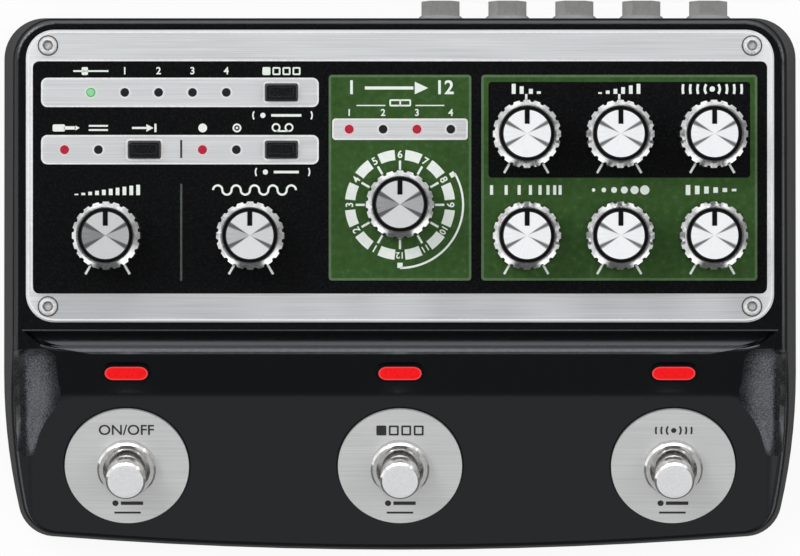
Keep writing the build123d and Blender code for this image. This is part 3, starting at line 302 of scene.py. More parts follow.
def maths(tree, operation, first, second=0.0):
    """The result of one step of arithmetic on values or sockets."""
    node = tree.nodes.new("ShaderNodeMath")
    node.operation = operation
    fill(tree, node.inputs[0], first)
    fill(tree, node.inputs[1], second)
    return node.outputs["Value"]


def times(tree, first, *others):
    """The product of values or sockets."""
    for other in others:
        first = maths(tree, "MULTIPLY", first, other)
    return first


def distance(tree, x, y):
    """How far a place is from the middle."""
    return maths(tree, "SQRT", maths(tree, "ADD", times(tree, x, x), times(tree, y, y)))


def mixed(tree, share, first, second):
    """A value between two others."""
    node = tree.nodes.new("ShaderNodeMix")
    fill(tree, node.inputs["Factor"], share)
    fill(tree, node.inputs["A"], first)
    fill(tree, node.inputs["B"], second)
    return node.outputs["Result"]


def eased(tree, value, start, end, low=0.0, high=1.0):
    """A value that goes smoothly from low to high between a start and an end."""
    node = tree.nodes.new("ShaderNodeMapRange")
    node.interpolation_type = "SMOOTHSTEP"
    node.inputs["From Min"].default_value = start
    node.inputs["From Max"].default_value = end
    node.inputs["To Min"].default_value = low
    node.inputs["To Max"].default_value = high
    tree.links.new(value, node.inputs["Value"])
    return node.outputs["Result"]


def point_on(material, scale, centre=(0.0, 0.0, 0.0)):
    """The place on the object, measured from a centre and scaled."""
    tree = material.node_tree
    where = tree.nodes.new("ShaderNodeTexCoord")
    mapping = tree.nodes.new("ShaderNodeMapping")
    mapping.inputs["Scale"].default_value = scale
    mapping.inputs["Location"].default_value = [-c * s for c, s in zip(centre, scale)]
    tree.links.new(where.outputs["Object"], mapping.inputs["Vector"])
    return mapping.outputs["Vector"]


def split(tree, point):
    """The two level parts of a place or a direction."""
    parts = tree.nodes.new("ShaderNodeSeparateXYZ")
    tree.links.new(point, parts.inputs["Vector"])
    return parts.outputs["X"], parts.outputs["Y"]


def noise_at(tree, point, detail=3.0, coarse=0.55, scale=1.0):
    """Noise at a point."""
    noise = tree.nodes.new("ShaderNodeTexNoise")
    noise.inputs["Scale"].default_value = scale
    noise.inputs["Detail"].default_value = detail
    noise.inputs["Roughness"].default_value = coarse
    tree.links.new(point, noise.inputs["Vector"])
    return noise.outputs["Fac"]


def noise_over(tree, first, second=0.0):
    """Noise over two values."""
    point = tree.nodes.new("ShaderNodeCombineXYZ")
    fill(tree, point.inputs["X"], first)
    fill(tree, point.inputs["Y"], second)
    return noise_at(tree, point.outputs["Vector"])


def tint(material, shader, value, dark, light, spread=GRAIN_SPREAD):
    """Colour that goes from dark to light with a value."""
    tree = material.node_tree
    ramp = tree.nodes.new("ShaderNodeValToRGB")
    for stop, position, colour in zip(ramp.color_ramp.elements, spread, (dark, light)):
        stop.position = position
        stop.color = (*colour, 1.0)
    tree.links.new(value, ramp.inputs["Fac"])
    tree.links.new(ramp.outputs["Color"], shader.inputs["Base Color"])


def gloss(material, shader, value, low, high):
    """Roughness that goes from low to high with a value."""
    result = eased(material.node_tree, value, *GRAIN_SPREAD, low, high)
    material.node_tree.links.new(result, shader.inputs["Roughness"])


def relief(material, shader, value, depth, strength=1.0):
    """Fine relief, with its depth in millimetres."""
    tree = material.node_tree
    bump = tree.nodes.new("ShaderNodeBump")
    bump.inputs["Strength"].default_value = strength
    bump.inputs["Distance"].default_value = depth * MM
    tree.links.new(value, bump.inputs["Height"])
    tree.links.new(bump.outputs["Normal"], shader.inputs["Normal"])
    return bump


def grained(name, dark, light, grain, rough, depth=0.0, metallic=0.0, stretch=(1.0, 1.0, 1.0), **constants):
    """A finish whose colour, gloss and relief follow one grain, with its size in millimetres."""
    material, shader = bare_finish(name, metallic, **constants)
    scale = [s / (grain * MM) for s in stretch]
    value = noise_at(material.node_tree, point_on(material, scale))
    tint(material, shader, value, dark, light)
    gloss(material, shader, value, *rough)
    if depth:
        relief(material, shader, value, depth)
    return material


# Brushed metal: its lines in waves for each metre, the painted shade towards a lower edge, and the painted
# light at the ends
BRUSH_LINES = (28.0, 4500.0, 4500.0)
BRUSH_DETAIL = 4.0
BRUSH_COARSE = 0.65
BRUSH_SPREAD = (0.1, 0.9)
BRUSH_RELIEF = (0.006, 0.6)
PAINTED_SHADE_REACH = 50.0
PAINTED_SHADE_PATCHES = (36.0, 20.0, 20.0)
PAINTED_SHADE_DEPTH = (0.35, 0.65, 0.06, 0.36)
PAINTED_LIGHT_ENDS = (84.0, 88.0, 0.0, 0.3)
PAINTED_LIGHT_RIGHT_END = (80.0, 88.0, 0.0, 0.22)


def brushed(name, dark, light, metallic, rough, low_edge=None):
    """Brushed metal with long fine lines, and, where a lower edge is given, painted shade in soft patches
    towards it and painted light at its ends.
    """
    material, shader = bare_finish(name, metallic)
    tree = material.node_tree
    lines = noise_at(tree, point_on(material, BRUSH_LINES), BRUSH_DETAIL, BRUSH_COARSE)
    value = lines
    if low_edge is not None:
        x, y = split(tree, point_on(material, IN_MILLIMETRES))
        low = eased(tree, y, low_edge, low_edge + PAINTED_SHADE_REACH, 1.0, 0.0)
        patches = noise_at(tree, point_on(material, PAINTED_SHADE_PATCHES), 1.0)
        painted_shade = times(tree, low, eased(tree, patches, *PAINTED_SHADE_DEPTH))
        painted_light_at_ends = eased(tree, maths(tree, "ABSOLUTE", x), *PAINTED_LIGHT_ENDS)
        painted_light_at_ends = maths(tree, "ADD", painted_light_at_ends, eased(tree, x, *PAINTED_LIGHT_RIGHT_END))
        value = maths(tree, "ADD", maths(tree, "SUBTRACT", lines, painted_shade), painted_light_at_ends)
    tint(material, shader, value, dark, light, BRUSH_SPREAD)
    gloss(material, shader, lines, *rough)
    relief(material, shader, lines, *BRUSH_RELIEF)
    return material


# Turned caps, with painted reflection: the dark bands that meet in the middle, with angles in degrees, the
# dimmer sides between them, the streaks, the painted highlight on the sides of the pointer's slot, and the
# fine rings
CAP_EDGE = 5.6
# Painted shade: the cap's edge is black where it meets the groove round it
CAP_EDGE_SHADE = (0.004, 0.004, 0.005)
CAP_TINT = (0.965, 0.98, 1.0)
CAP_DARKEST = 0.14
CAP_BAND_ANGLE = 29.0
CAP_BAND_WIDTH = (1.5, 9.0)
CAP_BAND_DEPTH = (0.2, 2.6, 0.35, 0.85)
CAP_SIDE_ANGLES = (18.0, 40.0)
CAP_SIDE_BLEND = 0.8
CAP_STREAKS_ROUND = 22.0
CAP_STREAKS_OUT = 0.3
CAP_STREAK_DEPTH = 0.45
CAP_SLOT_SIDE = 0.95
CAP_SLOT_END = 2.0
CAP_RINGS = 14.0
CAP_ROUGH = (0.3, 0.45)
CAP_RELIEF = (0.008, 0.4)
# Painted light and shade on each turned cap: how far its left and its right side dim, and its brightest level
CAP_PAINTED_SHADES = {"saturation": (0.62, 0.3, 0.64), "flutter": (0.36, 0.16, 0.78), "mode": (0.56, 0.42, 0.7)}
CAP_PAINTED_SHADE = (0.05, 0.05, 0.98)


def spun(name, centre, left_dim, right_dim, brightest_painted_light):
    """A turned cap: fine rings, painted reflection in darker bands that meet in the middle, and a dark edge
    of painted shade.
    """
    material, shader = bare_finish(name, metallic=0.15)
    tree = material.node_tree
    x, y = split(tree, point_on(material, IN_MILLIMETRES, centre))
    across = maths(tree, "ABSOLUTE", x)
    radius = distance(tree, x, y)
    lean = maths(tree, "ARCTAN2", maths(tree, "ABSOLUTE", y), across)
    turn = maths(tree, "ARCTAN2", y, x)
    streak = noise_over(tree, times(tree, turn, CAP_STREAKS_ROUND), times(tree, radius, CAP_STREAKS_OUT))
    off_band = maths(tree, "ABSOLUTE", maths(tree, "SUBTRACT", lean, math.radians(CAP_BAND_ANGLE)))
    reflection_band = eased(tree, off_band, *map(math.radians, CAP_BAND_WIDTH), 1.0, 0.0)
    reflection_band = times(tree, reflection_band, eased(tree, radius, *CAP_BAND_DEPTH))
    sides = eased(tree, lean, *map(math.radians, CAP_SIDE_ANGLES), 1.0, 0.0)
    dim = times(tree, sides, eased(tree, x, -CAP_SIDE_BLEND, CAP_SIDE_BLEND, left_dim, right_dim))
    painted_light = maths(tree, "SUBTRACT", maths(tree, "SUBTRACT", 1.0, reflection_band), dim)
    painted_light = maths(tree, "ADD", painted_light, times(tree, maths(tree, "SUBTRACT", streak, 0.5), CAP_STREAK_DEPTH))
    beside_pointer = maths(tree, "LESS_THAN", across, CAP_SLOT_SIDE)
    slot_highlight = times(tree, beside_pointer, maths(tree, "GREATER_THAN", y, CAP_SLOT_END))
    painted_light = maths(tree, "MAXIMUM", maths(tree, "ADD", painted_light, slot_highlight), CAP_DARKEST)
    painted_light = times(tree, painted_light, maths(tree, "LESS_THAN", radius, CAP_EDGE))
    tint(material, shader, painted_light, CAP_EDGE_SHADE, [brightest_painted_light * share for share in CAP_TINT], FULL_SPREAD)
    rings = noise_over(tree, times(tree, radius, CAP_RINGS))
    gloss(material, shader, rings, *CAP_ROUGH)
    relief(material, shader, rings, *CAP_RELIEF)
    return material


# Panel screws: the radius of the socket's wall and how wide its painted shade is, and where the painted
# highlight on the dome falls off
SOCKET_RADIUS = 1.05
SOCKET_WALL = (0.05, 0.35, 0.15, 1.0)
DOME_FOOT = (1.8, 2.2, 1.0, 0.4)
SCREW_GRAIN = (2600.0, 2600.0, 2600.0)
SCREW_GRAIN_LIFT = (-0.16, 0.1)


def screw_heads(name, dark, light, rough):
    """Steel of the panel screws: a painted highlight on their domes, and painted shade in their sockets and
    at their feet.
    """
    material, shader = bare_finish(name, metallic=0.3)
    tree = material.node_tree
    x, y = split(tree, point_on(material, IN_MILLIMETRES, (0.0, PANEL_ORIGIN[1] * MM, 0.0)))
    across = maths(tree, "SUBTRACT", maths(tree, "ABSOLUTE", x), SCREW_SPOT[0])
    along = maths(tree, "SUBTRACT", maths(tree, "ABSOLUTE", y), SCREW_SPOT[1])
    radius = distance(tree, across, along)
    off_wall = maths(tree, "ABSOLUTE", maths(tree, "SUBTRACT", radius, SOCKET_RADIUS))
    dome_highlight = times(tree, eased(tree, off_wall, *SOCKET_WALL), eased(tree, radius, *DOME_FOOT))
    spots = noise_at(tree, point_on(material, SCREW_GRAIN))
    painted_light = maths(tree, "ADD", dome_highlight, eased(tree, spots, *GRAIN_SPREAD, *SCREW_GRAIN_LIFT))
    tint(material, shader, painted_light, dark, light, FULL_SPREAD)
    gloss(material, shader, spots, *rough)
    return material


# Painted highlight along the ridge: its grain in waves for each metre, and the range of brightness of its
# patches
CREST_GRAIN = (700.0, 1800.0, 1800.0)
CREST_HIGHLIGHT_PATCHES = (0.6, 1.0)


def crested(name, dark, light, rough, rear, front, **constants):
    """Grained paint with a painted highlight in patches, which grows towards the front of a ridge."""
    material, shader = bare_finish(name, 0.0, **constants)
    tree = material.node_tree
    grain = noise_at(tree, point_on(material, CREST_GRAIN))
    _, y = split(tree, point_on(material, IN_MILLIMETRES))
    patchy = eased(tree, grain, *GRAIN_SPREAD, *CREST_HIGHLIGHT_PATCHES)
    painted_highlight = times(tree, eased(tree, y, front, rear, 1.0, 0.0), patchy)
    tint(material, shader, painted_highlight, dark, light, FULL_SPREAD)
    gloss(material, shader, grain, *rough)
    return material


# Painted light on the grains in the hollow of the cheeks: where it fades at each side, and how much of it is
# left there
HOLLOW_INNER = (81.6, 86.6)
HOLLOW_OUTER = (89.0, 90.6, 1.0, 0.15)
HOLLOW_REAR = (-20.5, -18.0, 1.0, 0.1)
HOLLOW_FRONT = (-44.0, -38.0, 0.2, 1.0)
PAINTED_GLINT_SPREAD = (0.36, 0.66)
SPECKLE_STRENGTH = (0.2, 1.0)


def speckled(name, dark, light, grain, rough, depth, **constants):
    """Black paint with coarse grains, and painted light on them in the hollow of the cheeks, which thins out
    towards its edges.
    """
    material, shader = bare_finish(name, 0.0, **constants)
    tree = material.node_tree
    grains = noise_at(tree, point_on(material, [1.0 / (grain * MM)] * 3))
    x, y = split(tree, point_on(material, IN_MILLIMETRES))
    across = maths(tree, "ABSOLUTE", x)
    hollow = times(
        tree,
        eased(tree, across, *HOLLOW_INNER),
        eased(tree, across, *HOLLOW_OUTER),
        eased(tree, y, *HOLLOW_REAR),
        eased(tree, y, *HOLLOW_FRONT),
    )
    painted_glints = times(tree, eased(tree, grains, *PAINTED_GLINT_SPREAD), hollow)
    tint(material, shader, painted_glints, dark, light, FULL_SPREAD)
    gloss(material, shader, grains, *rough)
    bump = relief(material, shader, grains, depth)
    tree.links.new(eased(tree, hollow, *FULL_SPREAD, *SPECKLE_STRENGTH), bump.inputs["Strength"])
    return material


# Dark and light colour, the size of the grain (where brushed, how metallic), roughness, and others by name
COAT_TINT = (0.9, 0.95, 1.0, 1.0)
COAT = {"Specular_IOR_Level": 0.58, "Specular_Tint": COAT_TINT}
case_paint = grained(
    "grained_black_paint", (0.0018, 0.002, 0.0024), (0.0032, 0.0035, 0.0042), 0.36, (0.16, 0.24),
    depth=0.013, **COAT,
)
# Cheeks: painted light on the grains in their hollow
cheek_paint = speckled(
    "black_paint_with_painted_glints", (0.0018, 0.002, 0.0024), (0.086, 0.095, 0.108), 0.44, (0.16, 0.3),
    depth=0.08, Specular_IOR_Level=0.75, Specular_Tint=COAT_TINT,
)
# Lip of the groove: a painted highlight along its edge
lip_highlight_paint = grained(
    "lip_painted_highlight", (0.022, 0.023, 0.026), (0.044, 0.046, 0.05), 0.5, (0.16, 0.24), depth=0.006,
    **COAT,
)
# Ridge bead: a painted highlight towards its front
ridge_highlight_paint = crested(
    "ridge_painted_highlight", (0.003, 0.0032, 0.0036), (0.07, 0.072, 0.078), (0.16, 0.24), rear=-17.45,
    front=-17.8, **COAT,
)
base_paint = grained(
    "base_paint", (0.008, 0.008, 0.009), (0.016, 0.016, 0.018), 0.5, (0.5, 0.65), depth=0.03
)
screw_steel = grained("screw_steel", (0.7, 0.71, 0.72), (0.84, 0.85, 0.86), 0.22, (0.24, 0.34), metallic=0.45)
panel_screw_steel = screw_heads("panel_screw_steel", (0.16, 0.165, 0.17), (0.92, 0.92, 0.92), (0.2, 0.32))
foot_rubber = grained(
    "foot_rubber", (0.008, 0.008, 0.008), (0.022, 0.022, 0.022), 0.4, (0.75, 0.95), depth=0.04
)
# Control plate: painted shade towards its lower edge and painted light at its ends
plate_metal = brushed(
    "brushed_plate_with_painted_light", (0.51, 0.525, 0.54), (0.88, 0.9, 0.915), 0.25, (0.3, 0.4), low_edge=-9.0
)
overlay_print = grained(
    "black_print", (0.0034, 0.0036, 0.004), (0.005, 0.0053, 0.006), 0.6, (0.2, 0.28), depth=0.001,
    Specular_IOR_Level=0.18,
)
green_print = grained(
    "green_print", (0.03, 0.077, 0.018), (0.045, 0.104, 0.028), 1.6, (0.2, 0.28), depth=0.001,
    Specular_IOR_Level=0.2,
)
board_green = grained("board_green", (0.01, 0.07, 0.03), (0.02, 0.11, 0.05), 2.0, (0.35, 0.5))
spacer_brass = grained("spacer_brass", (0.5, 0.35, 0.12), (0.68, 0.5, 0.2), 0.7, (0.25, 0.4), metallic=1.0)
pot_steel = grained("pot_steel", (0.4, 0.41, 0.42), (0.6, 0.6, 0.6), 0.9, (0.25, 0.4), metallic=1.0)
switch_black = grained(
    "switch_black", (0.012, 0.012, 0.013), (0.028, 0.028, 0.03), 0.5, (0.45, 0.6), depth=0.02
)
smoked_lens = grained("smoked_lens", (0.012, 0.013, 0.014), (0.024, 0.025, 0.028), 0.4, (0.12, 0.2))
disc_metal = brushed("brushed_disc", (0.49, 0.495, 0.495), (0.78, 0.785, 0.785), 0.25, (0.3, 0.42))
bright_chrome = grained(
    "bright_chrome", (0.7, 0.7, 0.69), (0.84, 0.84, 0.83), 1.2, (0.06, 0.14), metallic=0.92
)
socket_black = grained(
    "socket_black", (0.01, 0.01, 0.011), (0.024, 0.024, 0.026), 0.6, (0.4, 0.55), depth=0.02
)
port_steel = grained("port_steel", (0.5, 0.5, 0.51), (0.68, 0.68, 0.69), 0.6, (0.2, 0.32), metallic=1.0)
cable_grey = grained(
    "ribbon_grey", (0.22, 0.22, 0.23), (0.34, 0.34, 0.35), 1.2, (0.5, 0.65), depth=0.05,
    stretch=(1.0, 0.02, 0.02),
)
knob_chrome = grained("knob_chrome", (0.6, 0.6, 0.61), (0.8, 0.8, 0.8), 0.8, (0.08, 0.18), metallic=0.95)
shaft_steel = grained("shaft_steel", (0.45, 0.45, 0.46), (0.6, 0.6, 0.61), 0.8, (0.25, 0.35), metallic=1.0)
nut_nickel = grained("nut_nickel", (0.7, 0.7, 0.69), (0.8, 0.8, 0.79), 0.9, (0.06, 0.12), metallic=0.66)
button_black = grained(
    "button_black", (0.004, 0.0045, 0.005), (0.007, 0.008, 0.009), 0.5, (0.2, 0.28), depth=0.001
)
plunger_chrome = grained(
    "plunger_chrome", (0.7, 0.69, 0.68), (0.84, 0.83, 0.82), 1.1, (0.06, 0.16), metallic=0.95
)
plunger_satin = grained(
    "plunger_satin", (0.68, 0.685, 0.695), (0.78, 0.785, 0.795), 0.5, (0.4, 0.55), depth=0.008,
    metallic=0.1,
)
white_print = grained("white_print", (0.74, 0.81, 0.75), (0.84, 0.89, 0.84), 0.5, (0.45, 0.6))
# Dark print, and painted shadow round the panel screws
dark_print_and_shade = grained("dark_print_and_shade", (0.008, 0.008, 0.009), (0.02, 0.02, 0.021), 0.4, (0.45, 0.6))
divider_print = grained("divider_print", (0.03, 0.045, 0.035), (0.06, 0.08, 0.065), 0.7, (0.4, 0.55))
# Painted highlight along the edges of the green areas
green_edge_highlight = grained(
    "green_edge_highlight", (0.07, 0.135, 0.058), (0.1, 0.17, 0.085), 0.8, (0.4, 0.5), Specular_IOR_Level=0.2
)
# Painted highlight along the bright edges of the plate, its strips, the overlay and the buttons' holes
edge_highlight = grained("edge_highlight", (0.82, 0.82, 0.82), (0.94, 0.94, 0.94), 0.6, (0.3, 0.42), metallic=0.1)
# Black for the knobs' pointers and the bars' bezels, and painted shade in the knobs' grooves, round the discs
# and round the bars
black_enamel_and_shade = grained(
    "black_enamel_and_shade", (0.002, 0.002, 0.003), (0.006, 0.006, 0.007), 0.5, (0.3, 0.4),
    Specular_IOR_Level=0.1,
)
red_bar = grained(
    "red_bar", (0.3, 0.002, 0.003), (0.4, 0.003, 0.004), 1.0, (0.25, 0.35), Specular_IOR_Level=0.15,
    Emission_Color=(0.78, 0.006, 0.008, 1.0), Emission_Strength=0.75,
)
red_rim = grained(
    "red_rim", (0.42, 0.03, 0.03), (0.5, 0.045, 0.045), 0.6, (0.25, 0.35), Specular_IOR_Level=0.15,
    Emission_Color=(0.9, 0.06, 0.06, 1.0), Emission_Strength=0.5,
)
red_lamp = grained(
    "red_lamp", (0.2, 0.006, 0.016), (0.3, 0.01, 0.024), 0.5, (0.2, 0.3), Specular_IOR_Level=0.2,
    Emission_Color=(0.46, 0.022, 0.055, 1.0), Emission_Strength=0.5,
)
green_lamp = grained(
    "green_lamp", (0.1, 0.32, 0.14), (0.16, 0.42, 0.2), 0.5, (0.2, 0.3),
    Emission_Color=(0.24, 0.62, 0.3, 1.0), Emission_Strength=0.5,
)
pale_halo = grained("pale_halo", (0.72, 0.73, 0.735), (0.8, 0.81, 0.815), 0.5, (0.35, 0.45))
pink_halo = grained("pink_halo", (0.76, 0.56, 0.58), (0.84, 0.66, 0.67), 0.4, (0.35, 0.45))
green_halo = grained("green_halo", (0.56, 0.76, 0.6), (0.64, 0.8, 0.67), 0.4, (0.35, 0.45))

NODE_FINISHES = {
    "case": case_paint,
    "base_plate": base_paint,
    "base_screws": screw_steel,
    "panel_screws": panel_screw_steel,
    "rubber_feet": foot_rubber,
    "control_plate": plate_metal,
    "panel_overlay": overlay_print,
    "green_panels": green_print,
    "control_board": board_green,
    "jack_board": board_green,
    "lamp_board": board_green,
    "board_spacers": spacer_brass,
    "pot_bodies": pot_steel,
    "mode_switch": pot_steel,
    "tact_switches": switch_black,
    "footswitch_bodies": switch_black,
    "panel_leds": smoked_lens,
    "indicator_lenses": red_bar,
    "footswitch_plates": disc_metal,
    "footswitch_bushings": bright_chrome,
    "footswitch_nuts": bright_chrome,
    "jack_nuts": nut_nickel,
    "phone_jacks": socket_black,
    "mini_jacks": socket_black,
    "dc_jack": socket_black,
    "usb_port": port_steel,
    "ribbon_cables": cable_grey,
}
for name, spot in KNOBS.items():
    NODE_FINISHES[f"{name}_knob"] = knob_chrome
    NODE_FINISHES[f"{name}_shaft"] = shaft_steel
    cap_middle = seat_on(panel_at(CAP_TOP), spot).to_translation()
    NODE_FINISHES[f"{name}_cap"] = spun(f"spun_{name}_cap", cap_middle, *CAP_PAINTED_SHADES.get(name, CAP_PAINTED_SHADE))
for name in BUTTONS:
    NODE_FINISHES[name] = button_black
for side in FOOT_SWITCHES:
    NODE_FINISHES[f"{side}_foot_button"] = plunger_chrome
for name, finish in NODE_FINISHES.items():
    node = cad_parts[name]
    node.data.materials.clear()
    node.data.materials.append(finish)

# The planes that print and trim lie on
on_overlay = panel_at(OVERLAY_TOP - PRINT_SINK)
on_green = panel_at(GREEN_TOP - PRINT_SINK)
on_plate = panel_at(PLATE_TOP - PRINT_SINK)
on_deck = place(FOOT_ROW_ORIGIN, FOOT_ROW_TILT, -PRINT_SINK)
on_discs = place(FOOT_ROW_ORIGIN, FOOT_ROW_TILT, DISC_TOP - PRINT_SINK)
on_face = place(LENS_ROW_ORIGIN, LENS_ROW_TILT, -PRINT_SINK)
on_bars = place(LENS_ROW_ORIGIN, LENS_ROW_TILT, LENS_TOP - PRINT_SINK)

# Black ring and pointer set into the top of each knob; the black ring stands in for the shade in the groove
# round the cap
RING_INNER = 5.88
RING_OUTER = 6.47
RING_BASE = 11.82
RING_HEIGHT = 0.45
POINTER_WIDTH = 1.09
POINTER_START = 2.36
POINTER_HEIGHT = 0.94
INLAY_SOFT = 0.05
open_sheet()
lay_ring((0.0, 0.0), RING_INNER, RING_OUTER)
ring = close_sheet(RING_HEIGHT)
open_sheet()
lay_bar(0.0, (POINTER_START + RING_INNER) / 2, POINTER_WIDTH, RING_INNER - POINTER_START)
pointer = close_sheet(POINTER_HEIGHT)
inlay_and_groove_shade = join([ring, pointer])
soften(inlay_and_groove_shade, INLAY_SOFT)
for name, spot in KNOBS.items():
    seat = seat_on(panel_at(RING_BASE), spot)
    settle(copy_of(inlay_and_groove_shade), f"{name}_inlay", seat, f"{name}_control", black_enamel_and_shade)
bpy.data.objects.remove(inlay_and_groove_shade)

# Rows of signs on the panel, from the rear to the front
LAMP_SIGNS = 25.1
HEAD_FIGURES = 21.05
ARC_SIGN = 20.8
TONE_BASE = 19.65
HEAD_LAMP_FIGURES = 15.1
UPPER_HOLD = 14.5
STRIP_SIGNS = 11.5
LOWER_HOLD = 0.95
LEVEL_SIGNS = -3.35
RISE_BASE = -4.57

# Ticks round the knobs
END_TICK = (8.0, 10.6)
END_TICK_ANGLE = 150.0
TOP_TICK = (8.4, 9.7)
TICK_WIDTH = 0.55

# Lamp figures and signs
LAMP_FIGURE = 2.4
HEAD_LAMP_FIGURE = 2.3
BUTTON_SIGN_X = -28.1
HOLD_DOT_IN = 2.2
HOLD_BAR_SHIFT = 0.9
HOLD_BAR_SHORTER = 6.6
HOLD_LINE = 0.62
BRACKET = (1.6, 1.95)
BRACKET_HALF = 32.0
ARC_DOT = 0.65
ARC_HALF = 38.0
REEL = (0.65, 1.05)
REEL_HUB = 0.3
PLACE_CORNER = 0.3
PLACE_CORE_CORNER = 0.2


def spaced(start, pitch, count):
    """Even places along a row."""
    return [start + pitch * i for i in range(count)]


def end_ticks(names):
    """Ticks at both ends of each knob's turn."""
    for name in names:
        for side in (-1, 1):
            lay_tick(KNOBS[name], END_TICK, side * END_TICK_ANGLE, TICK_WIDTH)


def stored_places(x, y, pitch, size, core, line):
    """Four places for settings, the first one filled."""
    for middle in spaced(x, pitch, 4):
        lay_frame(middle, y, *size, PLACE_CORNER, line)
    lay_block(x, y, *core, PLACE_CORE_CORNER)


def hold_sign(y, reach):
    """Press and hold: a dot and a long bar between brackets."""
    lay_disc(BUTTON_SIGN_X - reach + HOLD_DOT_IN, y, HOLD_LINE)
    lay_bar(BUTTON_SIGN_X + HOLD_BAR_SHIFT, y, 2 * reach - HOLD_BAR_SHORTER, HOLD_LINE)
    for side in (-1, 1):
        hub = (BUTTON_SIGN_X + side * (reach - BRACKET[0]), y)
        lay_band(hub, *BRACKET, 90.0 * side - BRACKET_HALF, 2 * BRACKET_HALF)


def stairs(places, base, width, first, rise):
    """Bars on a base line, each higher or lower than the last."""
    for i, x in enumerate(places):
        height = first + rise * i
        lay_bar(x, base + height / 2, width, height)


def arc_sign(x, y, first, pitch, line, count):
    """Arcs that spread to both sides of a dot."""
    lay_disc(x, y, ARC_DOT)
    for side in (-1, 1):
        for i, inner in enumerate(spaced(first, pitch, count)):
            half = ARC_HALF / (i + 1)
            lay_band((x, y), inner, inner + line, 90.0 * side - half, 2 * half)


# White print on the black overlay: ticks, lamp figures and plain signs
figures = [numeral(str(i + 1), LAMP_FIGURE, x, LAMP_SIGNS) for i, (x, _) in enumerate(MEMORY_LAMPS)]
open_sheet()
end_ticks(KNOBS_ON_BLACK)
for name in ("bass", "treble"):
    lay_tick(KNOBS[name], TOP_TICK, 0.0, TICK_WIDTH)
# By hand: a slide on its track
lay_bar(-73.95, LAMP_SIGNS, width=8.4, depth=0.4)
lay_block(-75.4, LAMP_SIGNS, width=1.5, depth=1.9, corner=0.3)
stored_places(-31.95, LAMP_SIGNS, pitch=2.4, size=(1.9, 1.9), core=(1.2, 1.2), line=0.38)
hold_sign(UPPER_HOLD, reach=6.9)
hold_sign(LOWER_HOLD, reach=6.3)
# Plug, line and way in
lay_block(-81.6, STRIP_SIGNS, width=3.0, depth=1.7, corner=0.4)
lay_bar(-79.1, STRIP_SIGNS, width=2.6, depth=0.8)
lay_arrow(-77.3, STRIP_SIGNS, width=1.0, depth=1.2)
for side in (-1, 1):
    lay_bar(-72.15, STRIP_SIGNS + side * 0.5, width=4.6, depth=0.42)
lay_bar(-62.4, STRIP_SIGNS, width=3.4, depth=0.5)
lay_arrow(-60.1, STRIP_SIGNS, width=1.7, depth=1.8)
lay_bar(-58.5, STRIP_SIGNS, width=0.5, depth=2.0)
# Full reel, empty reel and two reels with tape
lay_disc(-47.2, STRIP_SIGNS, REEL[1])
lay_ring((-39.0, STRIP_SIGNS), *REEL)
lay_disc(-39.0, STRIP_SIGNS, REEL_HUB)
for side in (-1, 1):
    lay_ring((BUTTON_SIGN_X + side * 1.55, STRIP_SIGNS + 0.1), *REEL)
lay_bar(BUTTON_SIGN_X, STRIP_SIGNS - 0.75, width=3.1, depth=0.4)
# Rising bars, waves, low end, high end and spreading arcs
stairs(spaced(-77.4, 1.64, 10), RISE_BASE, width=0.9, first=0.32, rise=0.24)
for i, x in enumerate(spaced(-43.6, 2.2, 9)):
    lay_band((x, LEVEL_SIGNS), inner=0.85, outer=1.35, start=-90.0 + 180.0 * (i % 2), sweep=180.0)
stairs((27.2, 29.1, 31.3, 33.2), TONE_BASE, width=0.95, first=2.4, rise=-0.6)
stairs(spaced(47.85, 1.84, 6), TONE_BASE, width=0.9, first=0.4, rise=0.4)
arc_sign(KNOBS["reverb"][0], ARC_SIGN, first=1.5, pitch=1.75, line=0.6, count=4)
overlay_marks = join([close_sheet()] + figures)
settle(overlay_marks, "overlay_marks", on_overlay, "chassis", white_print)

# White print on the green areas: the dial, the ends of travel and the head figures
DIAL_PLACES = 12
DIAL_PITCH = FULL_TURN / DIAL_PLACES
DIAL_TOP_FIGURE = 6
DIAL_FIGURE = 2.5
DIAL_LONG_FIGURE = 2.1
DIAL_FIGURE_RADIUS = 12.0
DIAL_INNER = 10.75
DIAL_OUTER = 13.2
DIAL_HALF_SEGMENT = 9.2
DIAL_TICK = (8.4, 10.6)
DIAL_ARC = (60.0, 180.0)
DIAL_ARC_RADIUS = 15.1
DIAL_ARC_WIDTH = 0.5
DIAL_BLOCK = 1.25
HEAD_FIGURE = 4.6
dial = KNOBS["mode"]
figures = []
for i in range(DIAL_PLACES):
    figure = (i + DIAL_TOP_FIGURE - 1) % DIAL_PLACES + 1
    size = DIAL_FIGURE if figure < 10 else DIAL_LONG_FIGURE
    lean = math.radians(DIAL_PITCH * i)
    x = dial[0] + DIAL_FIGURE_RADIUS * math.sin(lean)
    y = dial[1] + DIAL_FIGURE_RADIUS * math.cos(lean)
    figures.append(numeral(str(figure), size, x, y, DIAL_PITCH * i))
for i, (x, _) in enumerate(HEAD_LAMPS):
    figures.append(numeral(str(i + 1), HEAD_LAMP_FIGURE, x, HEAD_LAMP_FIGURES))
figures.append(numeral("1", HEAD_FIGURE, -11.6, HEAD_FIGURES))
figures.append(numeral("12", HEAD_FIGURE, 10.6, HEAD_FIGURES))
open_sheet()
lay_bar(-2.6, HEAD_FIGURES, width=11.6, depth=0.75)
lay_arrow(4.6, HEAD_FIGURES, width=3.2, depth=3.0)
for i in range(DIAL_PLACES):
    lay_tick(dial, DIAL_TICK, DIAL_PITCH * i, TICK_WIDTH)
    segment_start = DIAL_PITCH * (i + 0.5) - DIAL_HALF_SEGMENT
    lay_band(dial, DIAL_INNER, DIAL_OUTER, segment_start, 2 * DIAL_HALF_SEGMENT)
arc_inner = DIAL_ARC_RADIUS - DIAL_ARC_WIDTH / 2
